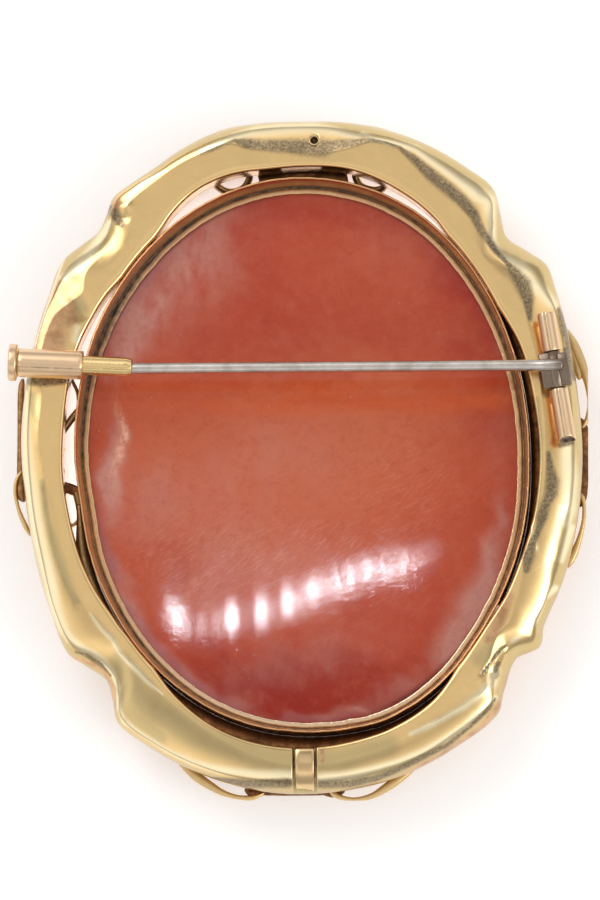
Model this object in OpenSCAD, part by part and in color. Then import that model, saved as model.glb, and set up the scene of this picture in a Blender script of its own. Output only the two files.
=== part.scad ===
// Cameo brooch, lying face down with its back up.
// +X is the right and +Y the top of the back as it is looked at, +Z points away from the surface.
// The shell's centre is over the origin, and z = 0 is the surface under the four front ornaments.

/* [Shell] */
// Width of the shell across its edge
shell_w = 38.5; // [36:0.1:41]
// Length of the shell across its edge
shell_l = 47.4; // [45:0.1:50]
// Thickness of the shell at its centre, without the relief
shell_t = 2.2; // [1.6:0.1:3]
// Thickness of the shell at its edge
shell_edge_t = 1.4; // [1:0.1:2]
// How far the front of the shell domes out from its edge to its centre
shell_dome = 2.3; // [1.2:0.1:3]
// How far the carved spray stands up from the front of the shell
relief_h = 1.6; // [0.8:0.1:1.8]

/* [Bezel] */
// Thickness of the bezel's wall
bezel_wall = 0.35; // [0.25:0.01:0.5]
// Width of the front lip that is turned over the shell
front_lip_w = 1.1; // [0.7:0.1:1.5]
// Thickness of the front lip
front_lip_t = 0.35; // [0.25:0.01:0.5]
// Width of the bright back edge of the bezel
rim_w = 0.18; // [0.14:0.01:0.24]
// Width of the slope that runs down inside the back edge
slope_w = 0.38; // [0.3:0.01:0.5]
// Width of the dark groove between the slope and the inner lip
groove_w = 0.15; // [0.1:0.01:0.25]
// Width of the inner lip that holds the back of the shell
inner_lip_w = 0.45; // [0.3:0.01:0.6]
// Height of the back rim over the shell's edge
rim_h = 2.5; // [2.2:0.05:2.7]
// How far the hand-made oval swells where it is fullest
oval_swell = 0.4; // [0:0.05:0.5]

/* [Border ring] */
// Width of the hollow ring at the brooch's sides, from the bezel to its plain outer edge
ring_side_w = 4.34; // [3.6:0.01:5.2]
// Width of the hollow ring at the brooch's ends
ring_end_w = 5.19; // [4.4:0.01:6.2]
// Height of the hollow ring from its front crest to its back
ring_h = 5.2; // [4.4:0.1:5.6]
// Thickness of the sheet that the ring is made of
sheet = 0.3; // [0.25:0.01:0.4]
// How far the outer edge swells at the four twists
edge_wave = 1; // [0.6:0.05:1.2]
// How far the ring's inner edge stands off the bezel where the gap is widest
gap_wave = 1.5; // [1.2:0.05:1.8]
// How deep the twists fold the back of the ring
fold_depth = 0.9; // [0.4:0.05:1.2]
// Diameter of the vent hole in the back of the ring
vent_d = 0.65; // [0.5:0.05:0.8]

/* [Front ornaments] */
// How far the four pierced ornaments stand in front of the ring
scroll_rise = 3.4; // [3.2:0.1:4]
// Width of an ornament's wire
wire_w = 0.56; // [0.4:0.02:0.7]
// Depth of an ornament's wire, front to back
wire_t = 1.3; // [1:0.1:1.6]
// How far the longest of the wire's loops reaches past the ring
lobe_reach = 1.2; // [0.9:0.05:1.4]
// Length of a middling leaf of an ornament
leaf_l = 3.2; // [2.6:0.1:3.6]
// Width of a middling leaf of an ornament
leaf_w = 1.4; // [1:0.1:1.8]

/* [Pin and hinge] */
// Diameter of the steel pin
pin_d = 0.96; // [0.8:0.01:1.1]
// Length of the ground point of the pin
point_l = 3.7; // [3.7:0.1:4.5]
// Distance of the hinge in from the ring's outer edge
hinge_in = 2.1; // [1.6:0.1:2.6]
// Distance of the hinge from the shell's centre, up
hinge_y = 6.8; // [6:0.05:8]
// Height of the hinge's axis over the back of the ring
hinge_rise = 1.6; // [1.5:0.05:2]
// How far the hinge leans over from upright
hinge_lean = 9.4; // [0:0.1:12]
// Diameter of the two hinge tubes
hinge_tube_d = 1.6; // [1.4:0.05:1.8]
// Length of the upper hinge tube
upper_tube_l = 3.4; // [2.6:0.1:4]
// Length of the lower hinge tube
lower_tube_l = 4.6; // [3.4:0.1:5]
// Length of the steel knuckle between the tubes
knuckle_l = 3.2; // [2.6:0.1:3.6]
// Width of the steel knuckle
knuckle_w = 2.5; // [2:0.1:2.6]
// Diameter of the rivet
rivet_d = 0.6; // [0.5:0.05:0.7]
// Height of the pin over the hinge's axis
pin_rise = 0.4; // [0.3:0.05:0.5]
// How far the pin sits above the middle of its knuckle
pin_shift = 0.4; // [0.2:0.05:0.6]

/* [Catch] */
// Diameter of the fixed catch tube
catch_d = 2.47; // [2.3:0.01:2.7]
// Length of the fixed catch tube
catch_l = 5.65; // [4.8:0.05:6]
// Diameter of the sliding tube
slider_d = 1.64; // [1.6:0.01:1.8]
// Diameter of the bore that takes the pin's point
slider_bore_d = 1.28; // [1.24:0.01:1.32]
// How far the sliding tube stands out over the pin when it is shut
slider_out = 4.2; // [3.8:0.1:4.6]
// Diameter of the pull knob
knob_d = 3.2; // [2.8:0.1:3.6]
// Thickness of the pull knob
knob_t = 0.74; // [0.5:0.02:1]
// Distance of the catch's mouth in from the ring's outer edge
catch_in = 9.4; // [8.8:0.05:10]
// How far the catch leans from the line of the pin
catch_lean = 2.8; // [0:0.1:3]

/* [Seam strap] */
// Width of the strap over the ring's seam
strap_w = 1.65; // [1.2:0.05:2.2]
// Thickness of the strap
strap_t = 0.35; // [0.25:0.01:0.5]
// Width of the open line on each side of the strap
strap_gap = 0.2; // [0.1:0.01:0.3]

/* [Clearances] */
// Gap between pieces that are fixed together
fit_gap = 0.06; // [0.04:0.01:0.1]
// Radial gap between pieces that turn or slide in each other
run_gap = 0.05; // [0.03:0.01:0.08]

/* [Hidden] */
$fn = 48;
EPS = 0.01;

// Front to back: the ring, the bezel and the shell in it, the findings over the ring
ring_front = scroll_rise;
ring_back = ring_front + ring_h;
ring_mid = ring_front + ring_h / 2;
BEZEL_DROP = 0.6;
LIP_ROOM = 0.3;
bezel_back = ring_back - BEZEL_DROP;
shell_edge_back = bezel_back - rim_h;
shell_edge_front = shell_edge_back - shell_edge_t;
shell_front = shell_edge_front - shell_dome;
shell_back = shell_front + shell_t;
bezel_front = shell_edge_front - LIP_ROOM - front_lip_t;
bezel_w = shell_w + 2 * (bezel_wall + fit_gap);
bezel_l = shell_l + 2 * (bezel_wall + fit_gap);
ring_w = bezel_w + 2 * ring_side_w;
ring_l = bezel_l + 2 * ring_end_w;
hinge_x = ring_w / 2 - hinge_in;
catch_x = ring_w / 2 - catch_in;
hinge_z = ring_back + hinge_rise;
pin_z = hinge_z + pin_rise;

// Outline of the bezel: angle, going round against the clock from its right side,
// and how far it stands out from a true oval as a share of oval_swell
OVAL_SWELLS = [[0, -0.15], [20, 0], [40, 0.3], [58, 0.7], [75, 0.6], [90, 0.5], [120, 0.85],
    [140, 1], [155, 1.1], [168, 0.6], [180, 0.2], [190, -0.4], [202, 0.1], [232, 0.2],
    [258, 0.1], [272, 0.3], [282, 0.85], [291, 1.65], [307, 1.6], [318, 1], [330, 0.75], [345, 0.45]];

// Twists of the ring by angle: outer edge as a share of edge_wave, gap to the bezel as a share
// of gap_wave, fold as a share of fold_depth, flat part as a share of the ring's width
TWISTS = [
    [0, 0.1, 0.55, 0, 0.5],
    [12, 0.15, 0.45, 0, 0.55],
    [22, 0.55, 0.4, 0, 0.5],
    [29, 0.9, 0.15, 0, 0.5],
    [33.5, 1.15, 0, 0.1, 0.5],
    [37, 0.4, 0, 0.6, 0.45],
    [41.5, -0.45, 0, 1, 0.4],
    [45, 0.2, 0, 0.5, 0.5],
    [50, 1.4, 0, 0, 0.6],
    [56, 1.25, 0.25, 0, 0.6],
    [65, 0.95, 0.45, 0, 0.55],
    [78, 0.5, 0.65, 0, 0.5],
    [90, 0.15, 0.55, 0, 0.5],
    [98, 0.35, 0.55, 0, 0.55],
    [107, 0.7, 0.8, 0, 0.55],
    [115, 0.7, 0.8, 0, 0.6],
    [122, 0.6, 0.5, 0, 0.6],
    [127, 0.85, 0.15, 0.05, 0.6],
    [131, 1.05, 0, 0.15, 0.6],
    [134, 0.5, 0, 0.55, 0.55],
    [137.5, 0.15, 0, 0.8, 0.5],
    [141, 0.65, 0.05, 0.45, 0.55],
    [145.5, 1.35, 0.25, 0, 0.6],
    [152, 1, 0.4, 0, 0.55],
    [162, 0.7, 0.6, 0, 0.6],
    [175, 0.5, 0.6, 0, 0.6],
    [188, 0.2, 0.75, 0, 0.6],
    [198, 0.25, 0.6, 0, 0.6],
    [207, 0.45, 0.4, 0, 0.6],
    [214.5, 0.65, 0.15, 0, 0.65],
    [218, -0.1, 0.1, 0.5, 0.55],
    [222.5, -0.85, 0, 1, 0.45],
    [226.5, -0.1, 0, 0.5, 0.6],
    [230, 0.8, 0.05, 0, 0.75],
    [238, 0.55, 0.45, 0, 0.65],
    [250, 0.2, 0.85, 0, 0.55],
    [262, 0.05, 0.95, 0, 0.5],
    [275, 0, 0.85, 0, 0.4],
    [290, 0.3, 0.6, 0, 0.5],
    [302, 0.6, 0.45, 0, 0.6],
    [312, 0.95, 0, 0.1, 0.65],
    [316, 0.05, 0, 0.5, 0.6],
    [322, -0.7, 0.05, 1, 0.5],
    [326, 0.5, 0.1, 0.3, 0.6],
    [330, 0, 0.2, 0.1, 0.6],
    [338, 0.1, 0.25, 0, 0.55],
    [350, 0.1, 0.45, 0, 0.5]
];

// Section of the ring: [place, drop], going round from its inner edge over its back.
// The place is a share of the flat part up to 1 and of the round shoulder from 1 to 2,
// and the drop is a share of half the ring's height.
BACK_SECTION = [[0, 0.14], [0.12, 0.03], [0.6, 0], [1, 0.03], [1.38, 0.15], [1.74, 0.42],
    [1.94, 0.74], [2, 1]];
// Front of the section: [share of the ring's width, share of half the ring's height]
FRONT_SECTION = [[0.96, 0.42], [0.78, 0.82], [0.5, 1], [0.24, 0.86], [0.06, 0.45], [0, 0.1]];

// Front ornaments: angle, angle from its middle to the crest of its loop on each side,
// reach of each loop as a share of lobe_reach, width of its struts as a share of wire_w
SCROLLS = [[0, 14, 15, 0.9, 0.5, 1.6], [90, 15, 14, 0.4, 0.35, 3.2], [177, 8.5, 9, 1, 0.8, 1.25],
    [269, 12.5, 15, 0.75, 0.75, 1.1]];
// Outer wire of an ornament: shares of the angle to the loop's crest and of the loop's reach,
// and its rise as a share of wire_t
SCALLOP = [[0, 0.4, 0.45], [0.5, 0.35, 0.3], [0.8, 0.85, 0], [1, 1, 0], [1.2, 0.9, 0], [1.45, 0.1, 0.25],
    [1.75, -1.3, 0.7]];
// Inner wire between ring and bezel: the same angle, share of the gap, rise likewise
INNER_LOOP = [[1.4, 1.8, 0.7], [1.34, 0.9, 0.3], [1.25, 0.3, 0.15], [1.12, 0.05, 0.15], [0.98, 0.2, 0.15],
    [0.88, 0.9, 0.3], [0.82, 1.8, 0.7]];
// Leaves of an ornament: [turn from straight out, length as a share of leaf_l, width likewise of leaf_w]
LEAVES = [[-128, 0.8, 0.9], [-82, 1.85, 1.15], [-58, 1.3, 1], [-30, 0.8, 0.9], [0, 0.62, 0.9],
    [30, 0.8, 0.9], [58, 1.3, 1], [82, 1.85, 1.15], [128, 0.8, 0.9], [180, 0.7, 0.9]];

// Sprays of the relief: [x, y, length, width, turn, height], as shares of half the shell's width
// and of the relief's height. A petal is round and a leaf is pointed.
LEAF_SPRAY = [
    [-0.43, 0.36, 0.34, 0.16, 140, 0.55],
    [0.43, 0.36, 0.34, 0.16, 40, 0.55],
    [-0.52, -0.12, 0.34, 0.16, 195, 0.5],
    [0.52, -0.12, 0.34, 0.16, -15, 0.5],
    [-0.3, -0.48, 0.34, 0.15, 235, 0.55],
    [0.3, -0.48, 0.34, 0.15, -55, 0.55],
    [0, 0.6, 0.36, 0.17, 90, 0.55],
    [-0.24, 0.78, 0.24, 0.09, 115, 0.4],
    [0.24, 0.78, 0.24, 0.09, 65, 0.4],
    [0.02, -0.66, 0.42, 0.07, 270, 0.35],
    [-0.14, -0.84, 0.24, 0.1, 225, 0.45],
    [0.18, -0.88, 0.24, 0.1, 310, 0.45]
];
BUDS = [
    [-0.66, 0.62, 0.15, 0.11, 130, 0.6],
    [0.66, 0.62, 0.15, 0.11, 50, 0.6],
    [-0.58, -0.5, 0.13, 0.1, 220, 0.55],
    [0.58, -0.5, 0.13, 0.1, -40, 0.55]
];
BLOOM_Y = 0.02;
PETALS = concat(
    petals(6, 0.3, 0.19, 0.17, 30, 0.62),
    petals(5, 0.17, 0.16, 0.14, 10, 0.8),
    petals(3, 0.07, 0.1, 0.1, 50, 1),
    BUDS);

// Rings of the shell's front and back faces, as shares of the way from its centre to its edge
FRONT_RINGS = concat([for (i = [1 : 12]) 0.04 * i], [for (i = [0 : 7]) 0.54 + 0.06 * i], [1]);
BACK_RINGS = [1, 0.85, 0.68, 0.5, 0.3, 0.12];
SHELL_SPOKES = 80;

function petals(n, out, len, wide, start, high) =
    [for (i = [0 : n - 1])
        let (a = start + 360 * i / n)
            [out * cos(a), BLOOM_Y + out * sin(a), len, wide, a, high]];

function unit(v) = v / norm(v);
function ellipse(w, l, a) = [w / 2 * cos(a), l / 2 * sin(a)];
function outward(w, l, a) = unit([l * cos(a), w * sin(a)]);

// A smooth closed curve through one column of a table that is set out by angle
function row_angle(t, i) = let (n = len(t)) t[(i + n) % n][0] + 360 * floor(i / n);
function row_value(t, i, c) = let (n = len(t)) t[(i + n) % n][c];
function row_slope(t, i, c) =
    (row_value(t, i + 1, c) - row_value(t, i - 1, c)) / (row_angle(t, i + 1) - row_angle(t, i - 1));
function row_before(t, a) = max([for (i = [0 : len(t) - 1]) if (t[i][0] <= a) i]);
function through(t, angle, c) =
    let (a = angle - 360 * floor(angle / 360),
        i = row_before(t, a),
        step = row_angle(t, i + 1) - row_angle(t, i),
        s = (a - row_angle(t, i)) / step)
    (2 * s ^ 3 - 3 * s ^ 2 + 1) * row_value(t, i, c)
        + (s ^ 3 - 2 * s ^ 2 + s) * step * row_slope(t, i, c)
        + (3 * s ^ 2 - 2 * s ^ 3) * row_value(t, i + 1, c)
        + (s ^ 3 - s ^ 2) * step * row_slope(t, i + 1, c);
function twist(a, c) = through(TWISTS, a, c);

// Points of the bezel's wall at a distance in from its outline, and of the ring's two edges
function bezel_edge(a, inset) =
    ellipse(bezel_w, bezel_l, a)
        + outward(bezel_w, bezel_l, a) * (oval_swell * through(OVAL_SWELLS, a, 1) - inset);
function outer_edge(a) =
    ellipse(ring_w, ring_l, a) + outward(ring_w, ring_l, a) * edge_wave * twist(a, 1);
function inner_edge(a) = bezel_edge(a, -max(fit_gap, gap_wave * twist(a, 2)));
function across(a, u) = inner_edge(a) * (1 - u) + outer_edge(a) * u;
function band_w(a) = norm(outer_edge(a) - inner_edge(a));

// The fold of a twist starts a third of the way across the ring and deepens to its outer edge
function fold_at(a, u) = fold_depth * twist(a, 3) * max(0, (u - 0.3) / 0.7) ^ 1.5;
function back_u(a, place) =
    let (flat = twist(a, 4))
    place <= 1 ? place * flat : flat + (place - 1) * (1 - flat);
function back_z(a, place, drop) =
    ring_back - drop * ring_h / 2 - fold_at(a, back_u(a, place)) * (1 - drop);
function ring_section(a) = concat(
    [for (p = BACK_SECTION) [back_u(a, p[0]), back_z(a, p[0], p[1])]],
    [for (p = FRONT_SECTION) [p[0], ring_mid - p[1] * ring_h / 2]]);
function skin_in(a, p, t) =
    [0.5 + (p[0] - 0.5) * (1 - 2 * t / band_w(a)), ring_mid + (p[1] - ring_mid) * (1 - 2.2 * t / ring_h)];
function place_in_ring(a, p) = let (xy = across(a, p[0])) [xy[0], xy[1], p[1]];

STATION_STEP = 4.6;
STATIONS = [for (i = [0 : len(TWISTS) - 1])
    let (step = row_angle(TWISTS, i + 1) - row_angle(TWISTS, i), n = ceil(step / STATION_STEP))
        for (k = [0 : n - 1]) row_angle(TWISTS, i) + step * k / n];

// Faces of a closed loop of n sections with m points each, and of a tube with pointed ends
function quad(a, b, c, d) = [[a, b, c], [a, c, d]];
function loop_faces(n, m) = [for (i = [0 : n - 1], k = [0 : m - 1])
    let (j = (i + 1) % n, l = (k + 1) % m)
        for (f = quad(i * m + k, j * m + k, j * m + l, i * m + l)) f];
function tube_faces(n, m) = concat(
    [for (i = [0 : n - 2], k = [0 : m - 1])
        let (l = (k + 1) % m)
            for (f = quad(i * m + k, (i + 1) * m + k, (i + 1) * m + l, i * m + l)) f],
    [for (k = [0 : m - 1]) [n * m, k, (k + 1) % m]],
    [for (k = [0 : m - 1]) [n * m + 1, (n - 1) * m + (k + 1) % m, (n - 1) * m + k]]);

module ring_solid(t) {
    sections = [for (a = STATIONS) [for (p = ring_section(a)) place_in_ring(a, skin_in(a, p, t))]];
    polyhedron([for (s = sections) for (p = s) p], loop_faces(len(STATIONS), len(sections[0])));
}

// The hollow in the ring keeps every second point of the section
module ring_hollow() {
    sections = [for (a = STATIONS)
        let (section = ring_section(a))
            [for (k = [0 : 2 : len(section) - 1]) place_in_ring(a, skin_in(a, section[k], sheet))]];
    polyhedron([for (s = sections) for (p = s) p], loop_faces(len(STATIONS), len(sections[0])));
}

// A wire of flat oval section through the points of a path, with its ends drawn to points
module wire(path, w, t, sides = 6) {
    n = len(path);
    ways = [for (i = [0 : n - 1]) unit(path[min(i + 1, n - 1)] - path[max(i - 1, 0)])];
    rings = [for (i = [0 : n - 1])
        let (side = unit([-ways[i][1], ways[i][0], 0]))
            for (k = [0 : sides - 1])
                let (b = 360 * (k + 0.5) / sides)
                    path[i] + side * w / 2 * cos(b) + [0, 0, t / 2 * sin(b)]];
    ends = [path[0] - ways[0] * w / 2, path[n - 1] + ways[n - 1] * w / 2];
    polyhedron(concat(rings, ends), tube_faces(n, sides));
}

// Middle of a wire, front to back, and points of its path beyond the ring or in the gap
WIRE_IN = 0.65;
function wire_z(rise) = ring_front + WIRE_IN + rise * wire_t;
function crest_angle(s, side) = side > 0 ? s[1] : s[2];
function crest_reach(s, side) = lobe_reach * (side > 0 ? s[3] : s[4]);
function beyond_ring(a, out, z) =
    let (xy = outer_edge(a) + outward(ring_w, ring_l, a) * out) [xy[0], xy[1], z];
function in_gap(a, share, z) =
    let (xy = bezel_edge(a, -fit_gap - wire_w / 2) * (1 - share) + inner_edge(a) * share)
    [xy[0], xy[1], z];

module outer_wire(s, side) {
    path = [for (p = SCALLOP)
        beyond_ring(s[0] + side * p[0] * crest_angle(s, side),
            p[1] * crest_reach(s, side) - wire_w / 2, wire_z(p[2]))];
    wire(path, wire_w, wire_t);
}

module inner_wire(s, side) {
    path = [for (p = INNER_LOOP) in_gap(s[0] + side * p[0] * crest_angle(s, side), p[1], wire_z(p[2]))];
    wire(path, wire_w, wire_t);
}

// A strut from the ring's front to just off the bezel's wall
module strut(s, side) {
    a = s[0] + side * 0.55 * crest_angle(s, side);
    hull() {
        for (share = [0, 2]) {
            translate(in_gap(a, share, wire_z(share * 0.4)))
                rotate(s[0])
                    cube([wire_w * 0.8, wire_w * s[5], wire_t * (1 + share / 4)], center = true);
        }
    }
}

// A curved leaf on the front of an ornament, from its middle boss outwards, by shares of its
// length, width and height
LEAF_FORM = [[0.05, 0.35, 0.55], [0.3, 0.85, 0.95], [0.6, 1, 0.8], [0.85, 0.6, 0.45]];

module front_leaf(len, w) {
    sides = 6;
    points = [for (p = LEAF_FORM, k = [0 : sides - 1])
        let (b = 360 * k / sides, half = ring_front * p[2] / 2)
            [p[0] * len, p[1] * w / 2 * cos(b), ring_front - half + half * sin(b)]];
    tips = [[0, 0, ring_front * 0.5], [len, 0, ring_front * 0.85]];
    polyhedron(concat(points, tips), tube_faces(len(LEAF_FORM), sides));
}

module ornament(s) {
    middle = across(s[0], 0.5);
    for (side = [-1, 1]) {
        outer_wire(s, side);
        inner_wire(s, side);
        strut(s, side);
    }
    translate([middle[0], middle[1], 0]) {
        rotate(s[0]) {
            for (leaf = LEAVES) {
                rotate(leaf[0]) {
                    front_leaf(leaf_l * leaf[1], leaf_w * leaf[2]);
                }
            }
            translate([0, 0, EPS])
                cylinder(d1 = leaf_l * 0.4, d2 = leaf_l * 0.62, h = ring_front + WIRE_IN, $fn = 8);
        }
    }
}

module frame() {
    color("#d8bf7c") {
        difference() {
            union() {
                ring_solid(0);
                for (s = SCROLLS) {
                    ornament(s);
                }
            }
            ring_hollow();
            vent_hole();
            strap_shape(strap_w + 2 * strap_gap, strap_t + strap_gap, 0.5);
        }
    }
}

module vent_hole() {
    spot = across(87.4, 0.53);
    translate([spot[0], spot[1], ring_mid])
        cylinder(d = vent_d, h = ring_h, $fn = 12);
}

// The strap's own section, laid into the ring's back at the bottom, and standing over it or not.
// The section's last points lie on the ring's outer side, so they move in as well as down.
STRAP_X = 0.2;
SIDE_POINTS = 3;

module strap_shape(w, deep, over) {
    spots = [for (p = BACK_SECTION) [across(270, back_u(270, p[0]))[1], back_z(270, p[0], p[1])]];
    count = len(spots) - 1;
    high = [for (i = [0 : count - 1]) spots[i] + over * [i > SIDE_POINTS ? -1 : 0, 1]];
    low = [for (i = [count - 1 : -1 : 0]) spots[i] - deep * [i > SIDE_POINTS ? -0.5 : 0, 0.9]];
    translate([STRAP_X, 0, 0])
        rotate([90, 0, 90])
            linear_extrude(w, center = true)
                polygon(concat(high, low));
}

module seam_strap() {
    color("#d9a878") {
        strap_shape(strap_w, strap_t, 0);
    }
}

BEZEL_SPOKES = [for (i = [0 : 95]) 3.75 * i];

module oval_plate(inset, low, high) {
    translate([0, 0, low])
        linear_extrude(high - low)
            polygon([for (a = BEZEL_SPOKES) bezel_edge(a, inset)]);
}

// The same plate with a sloping side
module oval_funnel(low_inset, low, high_inset, high) {
    points = [for (side = [[low_inset, low], [high_inset, high]], a = BEZEL_SPOKES)
        let (xy = bezel_edge(a, side[0])) [xy[0], xy[1], side[1]]];
    polyhedron(concat(points, [[0, 0, low], [0, 0, high]]), tube_faces(2, len(BEZEL_SPOKES)));
}

module bezel() {
    top = bezel_back + 1;
    seat = shell_edge_back + fit_gap;
    foot = rim_w + slope_w;
    lip = foot + groove_w;
    lip_z = seat + 0.34;
    groove_z = seat + 0.2;
    color("#b87d52") {
        difference() {
            oval_plate(0, bezel_front, bezel_back);
            oval_plate(front_lip_w, bezel_front - 1, bezel_front + front_lip_t + EPS);
            oval_plate(bezel_wall, bezel_front + front_lip_t, seat);
            oval_plate(lip + inner_lip_w, seat - EPS, top);
            oval_funnel(foot, lip_z, rim_w - slope_w / (bezel_back - lip_z), top);
            difference() {
                oval_plate(foot + EPS, groove_z, lip_z + EPS);
                oval_plate(lip, seat, top + 1);
            }
        }
    }
}

// Height of the relief at a point, as the highest of its petals and leaves there. A petal is
// rounded off all round, and a leaf narrows to both of its ends.
function petal_at(along, side) = let (left = 1 - along ^ 2 - side ^ 2) left > 0 ? sqrt(left) : 0;
function leaf_at(along, side) =
    let (half = 1 - along ^ 2, left = half > 0 ? 1 - (side / half) ^ 2 : 0)
    left > 0 ? sqrt(half) * (0.4 + 0.6 * left) : 0;
function spray_at(m, x, y, pointed) =
    let (dx = x - m[0], dy = y - m[1],
        along = (dx * cos(m[4]) + dy * sin(m[4])) / m[2],
        side = (dy * cos(m[4]) - dx * sin(m[4])) / m[3])
    m[5] * (pointed ? leaf_at(along, side) : petal_at(along, side));
function relief(xy) =
    let (x = xy[0] * 2 / shell_w, y = xy[1] * 2 / shell_w)
    relief_h * max([for (m = PETALS) spray_at(m, x, y, false), for (m = LEAF_SPRAY) spray_at(m, x, y, true)]);

function shell_spot(q, a) = bezel_edge(a, bezel_wall + fit_gap) * q;
function front_point(q, a) =
    let (xy = shell_spot(q, a))
    [xy[0], xy[1], shell_front + (shell_edge_front - shell_front) * q ^ 2 - (q < 1 ? relief(xy) : 0)];
function back_point(q, a) =
    let (xy = shell_spot(q, a))
    [xy[0], xy[1], shell_back + (shell_edge_back - shell_back) * q ^ 2];

// The carved shell: a dish with the spray raised on its front
module cameo() {
    spokes = [for (i = [0 : SHELL_SPOKES - 1]) 360 * i / SHELL_SPOKES];
    rings = concat(
        [for (q = FRONT_RINGS) for (a = spokes) front_point(q, a)],
        [for (q = BACK_RINGS) for (a = spokes) back_point(q, a)]);
    color("#c4543a") {
        polyhedron(concat(rings, [front_point(0, 0), back_point(0, 0)]),
            tube_faces(len(FRONT_RINGS) + len(BACK_RINGS), SHELL_SPOKES));
    }
}

// Places everything that turns with the hinge's axis along z, at the middle of the knuckle
module at_hinge() {
    translate([hinge_x, hinge_y, hinge_z])
        rotate([0, 0, hinge_lean])
            rotate([-90, 0, 0])
                children();
}

module hinge_tube(start, len) {
    foot_w = hinge_tube_d * 0.64;
    foot_h = hinge_rise - fit_gap;
    difference() {
        at_hinge() {
            translate([0, 0, start])
                cylinder(d = hinge_tube_d, h = len);
            translate([-foot_w / 2, 0, start + len * 0.15])
                cube([foot_w, foot_h, len * 0.7]);
        }
        at_hinge() {
            translate([0, 0, start - 1])
                cylinder(d = rivet_d + 2 * fit_gap, h = len + 2);
        }
    }
}

module hinge_tube_upper() {
    color("#dba27c") {
        hinge_tube(knuckle_l / 2 + fit_gap, upper_tube_l);
    }
}

module hinge_tube_lower() {
    color("#dba27c") {
        hinge_tube(-knuckle_l / 2 - fit_gap - lower_tube_l, lower_tube_l);
    }
}

// The rivet ends a little inside the tubes
RIVET_IN = 0.3;

module hinge_rivet() {
    color("#8f8a84") {
        at_hinge() {
            translate([0, 0, RIVET_IN - knuckle_l / 2 - fit_gap - lower_tube_l])
                cylinder(d = rivet_d, h = upper_tube_l + knuckle_l + lower_tube_l + 2 * (fit_gap - RIVET_IN));
        }
    }
}

// The steel pin: a knuckle that turns on the rivet, and a stem that is ground to a point.
// The stem starts behind the hinge's axis, with a slightly thicker root that ends just outside
// the knuckle, and stops short of the fixed catch tube.
KNUCKLE_TOP = 0.75;
KNUCKLE_FOOT = 0.5;
STEM_BACK = 0.7;
ROOT_OUT = 0.6;
ROOT_SWELL = 0.12;
TIP_SHORT = 0.65;
TIP_D = 0.16;

module pin() {
    stem_l = hinge_x + catch_x + slider_out - TIP_SHORT - point_l + STEM_BACK;
    root_l = STEM_BACK + knuckle_w / 2 + ROOT_OUT;
    color("#8d8f90") {
        difference() {
            union() {
                at_hinge() {
                    translate([-knuckle_w / 2, -KNUCKLE_TOP, -knuckle_l / 2])
                        cube([knuckle_w, KNUCKLE_TOP + KNUCKLE_FOOT, knuckle_l]);
                }
                translate([hinge_x + STEM_BACK, hinge_y + pin_shift, pin_z]) {
                    rotate([0, -90, 0]) {
                        cylinder(d1 = pin_d + ROOT_SWELL, d2 = pin_d, h = root_l);
                        translate([0, 0, root_l])
                            cylinder(d = pin_d, h = stem_l - root_l);
                        translate([0, 0, stem_l])
                            cylinder(d1 = pin_d, d2 = TIP_D, h = point_l);
                    }
                }
            }
            at_hinge() {
                cylinder(d = rivet_d + 2 * run_gap, h = knuckle_l + 2, center = true);
            }
        }
    }
}

// How far the catch's mouth sits above the line of the pin, which rests low in its bore
CATCH_LIFT = 0.1;

// Places the catch with its line along z, at the mouth of the shut slider and pointing outwards
module at_catch() {
    translate([-catch_x, hinge_y + pin_shift + CATCH_LIFT, pin_z])
        rotate([0, 0, -catch_lean])
            rotate([0, -90, 0])
                children();
}

module catch_tube() {
    bore = slider_d + 2 * run_gap;
    saddle_w = 1.3;
    saddle_h = pin_z - ring_back - fit_gap;
    saddle_in = 1.2;
    color("#d9b183") {
        difference() {
            at_catch() {
                translate([0, 0, slider_out])
                    cylinder(d = catch_d, h = catch_l);
                translate([-saddle_h, -saddle_w / 2, slider_out + saddle_in])
                    cube([saddle_h, saddle_w, catch_l - 2 * saddle_in]);
            }
            at_catch() {
                translate([0, 0, slider_out - 1])
                    cylinder(d = bore, h = catch_l + 2);
            }
        }
    }
}

module catch_slider() {
    shank = slider_out + catch_l + run_gap;
    nose_l = 0.35;
    nose_d = slider_d - 0.2;
    bore_l = slider_out - 0.2;
    color("#d6b24a") {
        difference() {
            at_catch() {
                cylinder(d1 = nose_d, d2 = slider_d, h = nose_l);
                translate([0, 0, nose_l])
                    cylinder(d = slider_d, h = shank - nose_l + EPS);
                translate([0, 0, shank])
                    cylinder(d = knob_d, h = knob_t);
            }
            at_catch() {
                translate([0, 0, -1])
                    cylinder(d = slider_bore_d, h = bore_l + 1);
            }
        }
    }
}

frame();
bezel();
cameo();
seam_strap();
hinge_tube_upper();
hinge_tube_lower();
hinge_rivet();
pin();
catch_tube();
catch_slider();
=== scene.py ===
# Looks of the cameo brooch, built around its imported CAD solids, in metres in the solids' frame.
# Shapes are worked out in millimetres from the same named sizes and tables as part.scad.
import bpy
import bmesh
import math
import numpy as np
from mathutils import Matrix, Vector


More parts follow.
